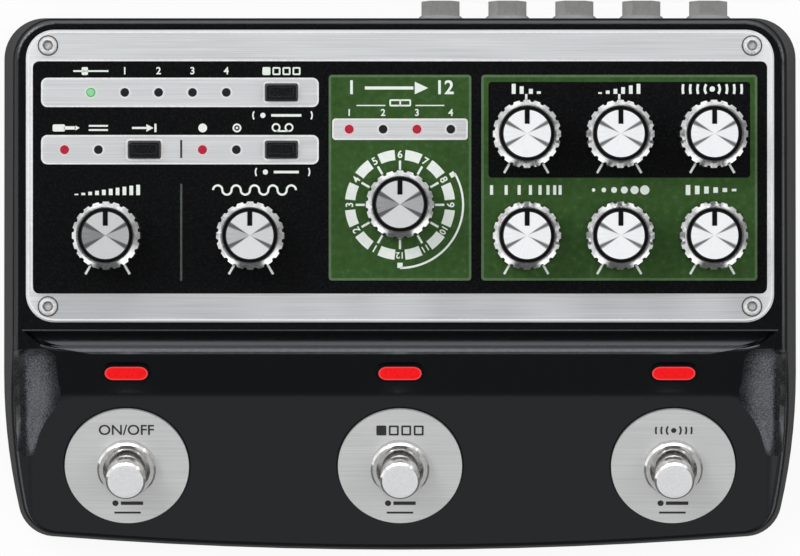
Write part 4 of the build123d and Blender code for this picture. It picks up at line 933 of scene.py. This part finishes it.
arc_outer = DIAL_ARC_RADIUS + DIAL_ARC_WIDTH / 2
lay_band(dial, arc_inner, arc_outer, DIAL_ARC[0], DIAL_ARC[1] - DIAL_ARC[0])
for angle in DIAL_ARC:
    lay_tick(dial, (DIAL_ARC_RADIUS - DIAL_BLOCK, DIAL_ARC_RADIUS), angle, DIAL_BLOCK)
end_ticks(KNOBS_ON_GREEN)
# A frame of two cells on a line over the head lamps
for side in (-1, 1):
    lay_bar(0.1 + side * 7.05, 16.87, width=6.9, depth=0.28)
lay_frame(0.05, 17.5, width=5.2, depth=1.7, corner=0.4, line=0.4)
lay_bar(0.05, 17.5, width=0.4, depth=1.7)
# Repeats that close up, growing dots and fading bars
for x in (21.9, 25.4, 28.5, 31.2, 33.5, 35.4, 37.0, 38.3):
    lay_bar(x, LEVEL_SIGNS, width=0.75, depth=2.3)
for i, x in enumerate(spaced(46.3, 2.45, 6)):
    lay_disc(x, LEVEL_SIGNS, radius=0.42 + 0.14 * i)
for i, x in enumerate(spaced(68.9, 2.2, 6)):
    lay_bar(x, LEVEL_SIGNS, width=1.1, depth=2.4 - 0.36 * i)
green_marks = join([close_sheet()] + figures)
settle(green_marks, "green_marks", on_green, "chassis", white_print)

# Painted highlights: thin light edges of the green areas, and bright edges of the plate, of its bare strips
# and of the overlay.
# Areas, strips and the plate's edge are given by middle, width, depth and corner.
GREEN_AREAS = ((0.0, -0.4, 34.1, 49.2, 0.8), (52.45, -0.4, 66.0, 49.2, 0.8))
GREEN_LINE = 0.6
STRIPS = (
    (-52.65, UPPER_STRIP, 66.4, 7.0, 1.5),
    (-52.65, LOWER_STRIP, 66.4, 7.0, 1.5),
    (0.0, HEAD_STRIP, 32.4, 5.1, 0.8),
)
STRIP_LINE = 0.38
PLATE_EDGE = (0.0, 0.0, 178.2, 69.2, 6.4)
PLATE_EDGE_LINE = 0.4
OVERLAY_SIDE = -88.05
OVERLAY_REAR = 27.7
OVERLAY_LINE = 0.34
OVERLAY_LOWER_EDGE = (0.0, -26.6, 175.6, 3.05, 1.5)
open_sheet()
for area in GREEN_AREAS:
    lay_frame(*area, GREEN_LINE)
settle(close_sheet(), "green_edge_highlights", on_green, "chassis", green_edge_highlight)
open_sheet()
for strip in STRIPS:
    lay_frame(*strip, STRIP_LINE)
lay_frame(*PLATE_EDGE, PLATE_EDGE_LINE)
lay_bar(0.0, OVERLAY_REAR, width=175.4, depth=OVERLAY_LINE)
lay_bar(OVERLAY_SIDE, 0.0, width=OVERLAY_LINE, depth=54.6)
settle(close_sheet(), "plate_edge_highlights", on_plate, "chassis", edge_highlight)
open_sheet()
lay_block(*OVERLAY_LOWER_EDGE)
settle(close_sheet(), "overlay_lower_edge", on_plate, "chassis", overlay_print)

# Painted shadow: a dark ring round the head of each panel screw
SCREW_SHADOW = (2.2, 2.46)
open_sheet()
for x in (-SCREW_SPOT[0], SCREW_SPOT[0]):
    for y in (-SCREW_SPOT[1], SCREW_SPOT[1]):
        lay_ring((x, y), *SCREW_SHADOW)
settle(close_sheet(), "screw_shadows", on_plate, "chassis", dark_print_and_shade)

# Hollow floor of the groove, the bead along the ridge in front of it, and the thin edge of the lip behind it;
# the bead and the lip carry painted highlights
COVE_RADIUS = 5.2
COVE_EDGE = (0.0, -15.08, 34.0)
COVE_LENGTH = 174.0
COVE_TURN = 24.5
COVE_STEPS = 10
BEAD_EDGE = (0.0, -16.85, 36.1)
BEAD_LENGTH = 170.0
BEAD_STEPS = ((-0.72, 0.12), (-0.85, 0.38), (-0.5, -0.75))
BEAD_END = (85.0, -17.0, 36.0)
BEAD_END_FACE = (9.0, -1.59)
BEAD_SOFT = 0.04
LIP_EDGE = (0.0, -13.08, 37.6)
LIP_LENGTH = 181.0
LIP_FALL = (-0.32, -0.1)
LIP_SOFT = 0.03
SKIN = 0.1
SMOOTH_ANGLE = 30.0
IN_PLACE = Matrix.Identity(4)


def start_line(spot, length):
    """A line across the pedal, in edit mode, with its middle at a spot."""
    middle = [c * MM for c in spot]
    pick_none()
    bpy.ops.mesh.primitive_plane_add(size=MM, location=middle)
    bpy.ops.object.transform_apply(location=True, rotation=True, scale=True)
    bpy.ops.object.mode_set(mode="EDIT")
    bpy.ops.transform.resize(value=(length, 0.0, 1.0), center_override=middle)
    bpy.ops.mesh.remove_doubles(threshold=PRINT_SINK * MM)


def draw_on(step):
    """Draws a line on along the pedal and up by a step."""
    bpy.ops.mesh.extrude_region_move(TRANSFORM_OT_translate={"value": (0.0, step[0] * MM, step[1] * MM)})


def thicken():
    """Leaves edit mode, gives an open surface its skin and rounds its shading."""
    bpy.ops.object.mode_set(mode="OBJECT")
    piece = bpy.context.object
    thickness = piece.modifiers.new("thickness", "SOLIDIFY")
    thickness.thickness = SKIN * MM
    thickness.offset = 0.0
    bpy.ops.object.modifier_apply(modifier=thickness.name)
    bpy.ops.object.mode_set(mode="EDIT")
    leave_edit()
    bpy.ops.object.shade_smooth_by_angle(angle=math.radians(SMOOTH_ANGLE))
    return piece


start_line(COVE_EDGE, COVE_LENGTH)
cove_axis = [c * MM for c in (COVE_EDGE[0], COVE_EDGE[1], COVE_EDGE[2] + COVE_RADIUS)]
bpy.ops.mesh.spin(steps=COVE_STEPS, angle=math.radians(COVE_TURN), center=cove_axis, axis=(1.0, 0.0, 0.0))
settle(thicken(), "groove_floor", IN_PLACE, "chassis", case_paint)
start_line(BEAD_EDGE, BEAD_LENGTH)
for step in BEAD_STEPS:
    draw_on(step)
for side in (-1, 1):
    bpy.ops.mesh.select_all(action="SELECT")
    bpy.ops.mesh.bisect(
        plane_co=Vector((side * BEAD_END[0], BEAD_END[1], BEAD_END[2])) * MM,
        plane_no=Vector((-side * BEAD_END_FACE[1], -BEAD_END_FACE[0], 0.0)).normalized(),
        clear_outer=True,
    )
bead = thicken()
soften(bead, BEAD_SOFT)
settle(bead, "ridge_bead", IN_PLACE, "chassis", ridge_highlight_paint)
start_line(LIP_EDGE, LIP_LENGTH)
draw_on(LIP_FALL)
lip = thicken()
soften(lip, LIP_SOFT)
settle(lip, "groove_lip", IN_PLACE, "chassis", lip_highlight_paint)

# Raised cheeks at both ends of the sloped face, by stations from rear to front: where each one is, how high
# the cheek swells there and how far in it reaches
CHEEK_STATIONS = (
    (-17.6, 0.0, 83.0),
    (-19.0, 0.9, 82.4),
    (-21.5, 1.6, 82.0),
    (-26.0, 2.0, 81.6),
    (-31.0, 2.1, 81.8),
    (-34.5, 1.8, 84.8),
    (-38.0, 1.3, 86.8),
    (-43.5, 0.0, 88.4),
)
# Their shape across: the outer side at fixed places, then the hollow side in even steps to where they end
CHEEK_OUTER = ((93.0, -0.2), (92.4, 0.4), (91.3, 0.88), (90.3, 1.0))
CHEEK_HOLLOW_START = 89.4
CHEEK_HOLLOW = (0.96, 0.83, 0.66, 0.49, 0.33, 0.19, 0.08, -0.04)
CHEEK_SINK = 0.08
CHEEK_CUTS = 4
CHEEK_SMOOTH = 0.6
ABOVE_CASE = 200.0
DOWN = Vector((0.0, 0.0, -1.0))


def on_case(x, y):
    """The point of the case's upper surface at a place."""
    _, spot, _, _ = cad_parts["case"].ray_cast(Vector((x * MM, y * MM, ABOVE_CASE * MM)), DOWN)
    return spot


open_sheet()
for y, swell, reach in CHEEK_STATIONS:
    step = (CHEEK_HOLLOW_START - reach) / (len(CHEEK_HOLLOW) - 1)
    hollow = [(CHEEK_HOLLOW_START - step * i, share) for i, share in enumerate(CHEEK_HOLLOW)]
    outline = []
    for across, share in [*CHEEK_OUTER, *hollow]:
        outline.append(on_case(-across, y) + Vector((0.0, 0.0, (swell * share - CHEEK_SINK) * MM)))
    bpy.ops.mesh.primitive_plane_add(size=MM, location=outline[0])
    bpy.ops.mesh.merge(type="CENTER")
    for last, spot in zip(outline, outline[1:]):
        bpy.ops.mesh.extrude_vertices_move(TRANSFORM_OT_translate={"value": spot - last})
bpy.ops.mesh.select_all(action="SELECT")
bpy.ops.mesh.bridge_edge_loops(
    type="SINGLE", number_cuts=CHEEK_CUTS, interpolation="SURFACE", smoothness=CHEEK_SMOOTH
)
left_cheek = thicken()
right_cheek = copy_of(left_cheek)
pick(right_cheek)
bpy.ops.object.mode_set(mode="EDIT")
bpy.ops.mesh.select_all(action="SELECT")
bpy.ops.transform.mirror(constraint_axis=(True, False, False), center_override=(0.0, 0.0, 0.0))
leave_edit()
settle(left_cheek, "left_cheek", IN_PLACE, "chassis", cheek_paint)
settle(right_cheek, "right_cheek", IN_PLACE, "chassis", cheek_paint)

# Dividing lines
DIVIDER_X = -52.34
DIVIDER_WIDTH = 0.5
open_sheet()
lay_bar(DIVIDER_X, -13.75, DIVIDER_WIDTH, depth=23.7)
settle(close_sheet(), "panel_divider", on_overlay, "chassis", divider_print)
open_sheet()
lay_bar(DIVIDER_X, 6.45, DIVIDER_WIDTH, depth=4.3)
settle(close_sheet(), "strip_divider", on_plate, "chassis", dark_print_and_shade)

# Lamps: a bright ring round each hole and a low lens in it; the pink and green rings round the lit lamps are
# painted glow from them
LAMP_RADIUS = 0.93
LAMP_RISE = 0.1
LAMP_SOFT = 0.09
HALO = (1.06, 1.5)
for label, spots, lens, halo in (
    ("red_lamps", RED_LAMPS, red_lamp, pink_halo),
    ("green_lamps", GREEN_LAMPS, green_lamp, green_halo),
    ("dark_lamps", DARK_LAMPS, smoked_lens, pale_halo),
):
    open_sheet()
    for spot in spots:
        lay_ring(spot, *HALO)
    settle(close_sheet(), f"{label}_rings", on_plate, "chassis", halo)
    open_sheet()
    for spot in spots:
        lay_disc(*spot, LAMP_RADIUS)
    lenses = close_sheet(LAMP_RISE)
    soften(lenses, LAMP_SOFT, segments=3)
    settle(lenses, f"{label}_lenses", panel_at(LAMP_TOP - PRINT_SINK), "chassis", lens)

# A pale edge round each button's hole as a painted highlight, and a raised frame on the button: width, depth,
# corner and line
BUTTON_EDGE = (8.9, 5.3, 1.0, 0.48)
BUTTON_FRAME = (6.0, 2.5, 0.3, 0.28)
BUTTON_FRAME_RISE = 0.14
BUTTON_FRAME_SOFT = 0.04
open_sheet()
for spot in BUTTONS.values():
    lay_frame(*spot, *BUTTON_EDGE)
settle(close_sheet(), "button_edge_highlights", on_plate, "chassis", edge_highlight)
open_sheet()
lay_frame(0.0, 0.0, *BUTTON_FRAME)
frame_line = close_sheet(BUTTON_FRAME_RISE)
soften(frame_line, BUTTON_FRAME_SOFT)
for name, spot in BUTTONS.items():
    seat = seat_on(panel_at(BUTTON_TOP - PRINT_SINK), spot)
    settle(copy_of(frame_line), f"{name}_frame", seat, name, button_black)
bpy.data.objects.remove(frame_line)

# Dark marks on the foot switch discs
DISC_SIGNS = 9.5
DISC_HOLD = -9.7
DISC_LINE = -12.2
DISC_WORD = 3.7
figures = [numeral("ON/OFF", DISC_WORD, FOOT_SWITCHES["left"], DISC_SIGNS, bold=0.012)]
open_sheet()
first_place = FOOT_SWITCHES["centre"] - 4.5
stored_places(first_place, DISC_SIGNS, pitch=3.0, size=(2.4, 2.6), core=(1.5, 1.7), line=0.45)
arc_sign(FOOT_SWITCHES["right"], DISC_SIGNS, first=1.5, pitch=1.3, line=0.45, count=3)
for x in FOOT_SWITCHES.values():
    lay_disc(x - 2.9, DISC_HOLD, radius=0.75)
    lay_bar(x + 1.1, DISC_HOLD, width=5.4, depth=0.9)
    lay_bar(x, DISC_LINE, width=6.4, depth=0.5)
settle(join([close_sheet()] + figures), "disc_marks", on_discs, "chassis", dark_print_and_shade)

# Painted shadow: a dark ring round each disc
DISC_RADIUS = 15.0
DISC_SHADOW = 0.4
open_sheet()
for x in FOOT_SWITCHES.values():
    lay_ring((x, 0.0), DISC_RADIUS, DISC_RADIUS + DISC_SHADOW)
settle(close_sheet(), "disc_shadows", on_deck, "chassis", black_enamel_and_shade)

# Satin top of each plunger, which rises in two steps: how far in and how high
PLUNGER_TOP_RADIUS = 4.28
PLUNGER_TOP_SIDES = 64
PLUNGER_TOP_STEPS = ((0.5, 0.12), (1.6, 0.03))
pick_none()
bpy.ops.mesh.primitive_circle_add(
    vertices=PLUNGER_TOP_SIDES, radius=PLUNGER_TOP_RADIUS * MM, fill_type="NGON"
)
bpy.ops.object.mode_set(mode="EDIT")
for inwards, rise in PLUNGER_TOP_STEPS:
    bpy.ops.mesh.inset(thickness=inwards * MM, depth=rise * MM)
bpy.ops.object.mode_set(mode="OBJECT")
cap_disc = bpy.context.object
for side, x in FOOT_SWITCHES.items():
    seat = seat_on(place(FOOT_ROW_ORIGIN, FOOT_ROW_TILT, PLUNGER_TOP), (x, 0.0))
    body = f"{side}_foot_button"
    settle(copy_of(cap_disc), f"{side}_plunger_top", seat, body, plunger_satin)
bpy.data.objects.remove(cap_disc)

# Lighter rims of the red bars, and a black bezel round each, which also stands in for the shade round the
# bar: width, depth, corner and line
BAR_RIM = (10.36, 4.0, 1.98, 0.35)
BAR_BEZEL = (11.6, 5.25, 2.6, 0.6)
BAR_BEZEL_SOFT = 0.08
open_sheet()
for x in LENSES:
    lay_frame(x, 0.0, *BAR_RIM)
settle(close_sheet(), "bar_rims", on_bars, "chassis", red_rim)
open_sheet()
for x in LENSES:
    lay_frame(x, 0.0, *BAR_BEZEL)
bezels = close_sheet(LENS_TOP + PRINT_THICK + PRINT_SINK)
soften(bezels, BAR_BEZEL_SOFT)
settle(bezels, "bar_bezels", on_face, "chassis", black_enamel_and_shade)

# A white floor that keeps the shadow, and is grey where shiny pieces mirror it
FLOOR_WIDTH = 8000.0
FLOOR_PATCHES = (6.0, 6.0, 6.0)
FLOOR_MIRRORED = 0.06
FLOOR_GLOW = 0.9
pick_none()
bpy.ops.mesh.primitive_plane_add(size=FLOOR_WIDTH * MM)
floor = bpy.context.object
floor.name = "floor"
floor_white, floor_shader = bare_finish("floor_white", 0.0, Roughness=0.9)
floor_tree = floor_white.node_tree
patches = noise_at(floor_tree, point_on(floor_white, FLOOR_PATCHES))
tint(floor_white, floor_shader, patches, (0.93, 0.93, 0.93), (0.95, 0.95, 0.95))
seen = floor_tree.nodes.new("ShaderNodeLightPath")
glow = floor_tree.nodes.new("ShaderNodeEmission")
brightness = mixed(floor_tree, seen.outputs["Is Glossy Ray"], 1.0, FLOOR_MIRRORED)
floor_tree.links.new(brightness, glow.inputs["Strength"])
direct = maths(floor_tree, "MAXIMUM", seen.outputs["Is Camera Ray"], seen.outputs["Is Glossy Ray"])
blend = floor_tree.nodes.new("ShaderNodeMixShader")
floor_tree.links.new(times(floor_tree, direct, FLOOR_GLOW), blend.inputs["Fac"])
floor_tree.links.new(floor_shader.outputs["BSDF"], blend.inputs[1])
floor_tree.links.new(glow.outputs["Emission"], blend.inputs[2])
floor_tree.links.new(blend.outputs["Shader"], floor_tree.nodes["Material Output"].inputs["Surface"])
floor.data.materials.append(floor_white)

# Soft even light from all round. Shiny pieces mirror a dark ceiling, and bright walls with a gap in front.
# The walls are given by their direction in degrees, 0 in front and 90 at the right, and their brightness.
SOFT_LIGHT = 0.72
BACKDROP = 1.0
CEILING = 0.05
CEILING_EDGE = (0.25, 0.45)
LOW_WALL_EDGE = (0.84, 0.94)
WALL_PEAK = 3.0
HIGH_WALLS = (
    (-180, 3.0), (-150, 2.6), (-100, 1.1), (-60, 1.0), (-36, 0.7), (-20, 0.36),
    (20, 0.36), (36, 0.5), (90, 0.95), (130, 1.4), (155, 2.6), (180, 3.0),
)
LOW_WALLS = (
    (-180, 1.3), (-110, 0.8), (-60, 1.1), (-34, 2.1), (-20, 0.05), (20, 0.05),
    (34, 2.1), (55, 1.3), (75, 0.3), (110, 0.3), (140, 0.9), (180, 1.3),
)
WALL_PATCHES = {"detail": 1.0, "coarse": 0.5, "scale": 2.6}
WALL_PATCH_LIFT = (0.38, 0.62, 0.7, 1.2)
world = bpy.data.worlds.new("studio")
bpy.context.scene.world = world
world.use_nodes = True
sky = world.node_tree
heading = sky.nodes.new("ShaderNodeTexCoord").outputs["Generated"]
east, north = split(sky, heading)
spread = distance(sky, east, north)
azimuth = maths(sky, "ARCTAN2", east, times(sky, north, -1.0))
azimuth = maths(sky, "ADD", maths(sky, "DIVIDE", azimuth, math.tau), 0.5)


def walls(stops):
    """Brightness that changes all the way round."""
    ramp = sky.nodes.new("ShaderNodeValToRGB")
    elements = ramp.color_ramp.elements
    for i, (degrees, level) in enumerate(stops):
        position = 0.5 + degrees / FULL_TURN
        stop = elements[i] if i < 2 else elements.new(position)
        stop.position = position
        stop.color = (level / WALL_PEAK, level / WALL_PEAK, level / WALL_PEAK, 1.0)
    sky.links.new(azimuth, ramp.inputs["Fac"])
    channels = sky.nodes.new("ShaderNodeSeparateColor")
    sky.links.new(ramp.outputs["Color"], channels.inputs["Color"])
    return times(sky, channels.outputs["Red"], WALL_PEAK)


patches = eased(sky, noise_at(sky, heading, **WALL_PATCHES), *WALL_PATCH_LIFT)
sides = mixed(sky, eased(sky, spread, *LOW_WALL_EDGE), walls(HIGH_WALLS), walls(LOW_WALLS))
sides = times(sky, sides, patches, eased(sky, spread, *CEILING_EDGE))
mirrored = maths(sky, "ADD", CEILING, sides)
seen = sky.nodes.new("ShaderNodeLightPath")
unseen = mixed(sky, seen.outputs["Is Glossy Ray"], SOFT_LIGHT, mirrored)
background = sky.nodes["Background"]
background.inputs["Color"].default_value = (1.0, 1.0, 1.0, 1.0)
sky.links.new(mixed(sky, seen.outputs["Is Camera Ray"], unseen, BACKDROP), background.inputs["Strength"])

# Lights and camera, in metres
LIT_SPOT = Vector((0.0, 0.0, 0.03))
CAMERA_SPOT = (0.0, -0.02954, 1.6883)
CAMERA_TILT = 1.0
CAMERA_LENS = 310.4
CAMERA_SENSOR = 36.0


def softbox(name, spot, width, depth, power):
    """A soft light that faces the pedal."""
    pick_none()
    bpy.ops.object.light_add(type="AREA", location=spot)
    lamp = bpy.context.object
    lamp.name = name
    lamp.data.shape = "RECTANGLE"
    lamp.data.size = width
    lamp.data.size_y = depth
    lamp.data.energy = power
    lamp.rotation_euler = (LIT_SPOT - Vector(spot)).to_track_quat("-Z", "Y").to_euler()


softbox("key", (-0.9, 0.7, 1.4), width=0.8, depth=0.6, power=9.0)
softbox("fill", (1.1, 0.3, 1.1), width=0.6, depth=0.6, power=3.0)

bpy.ops.object.camera_add(location=CAMERA_SPOT, rotation=(math.radians(CAMERA_TILT), 0.0, 0.0))
camera = bpy.context.object
camera.data.lens = CAMERA_LENS
camera.data.sensor_width = CAMERA_SENSOR
bpy.context.scene.camera = camera
bpy.context.scene.view_settings.view_transform = "Standard"
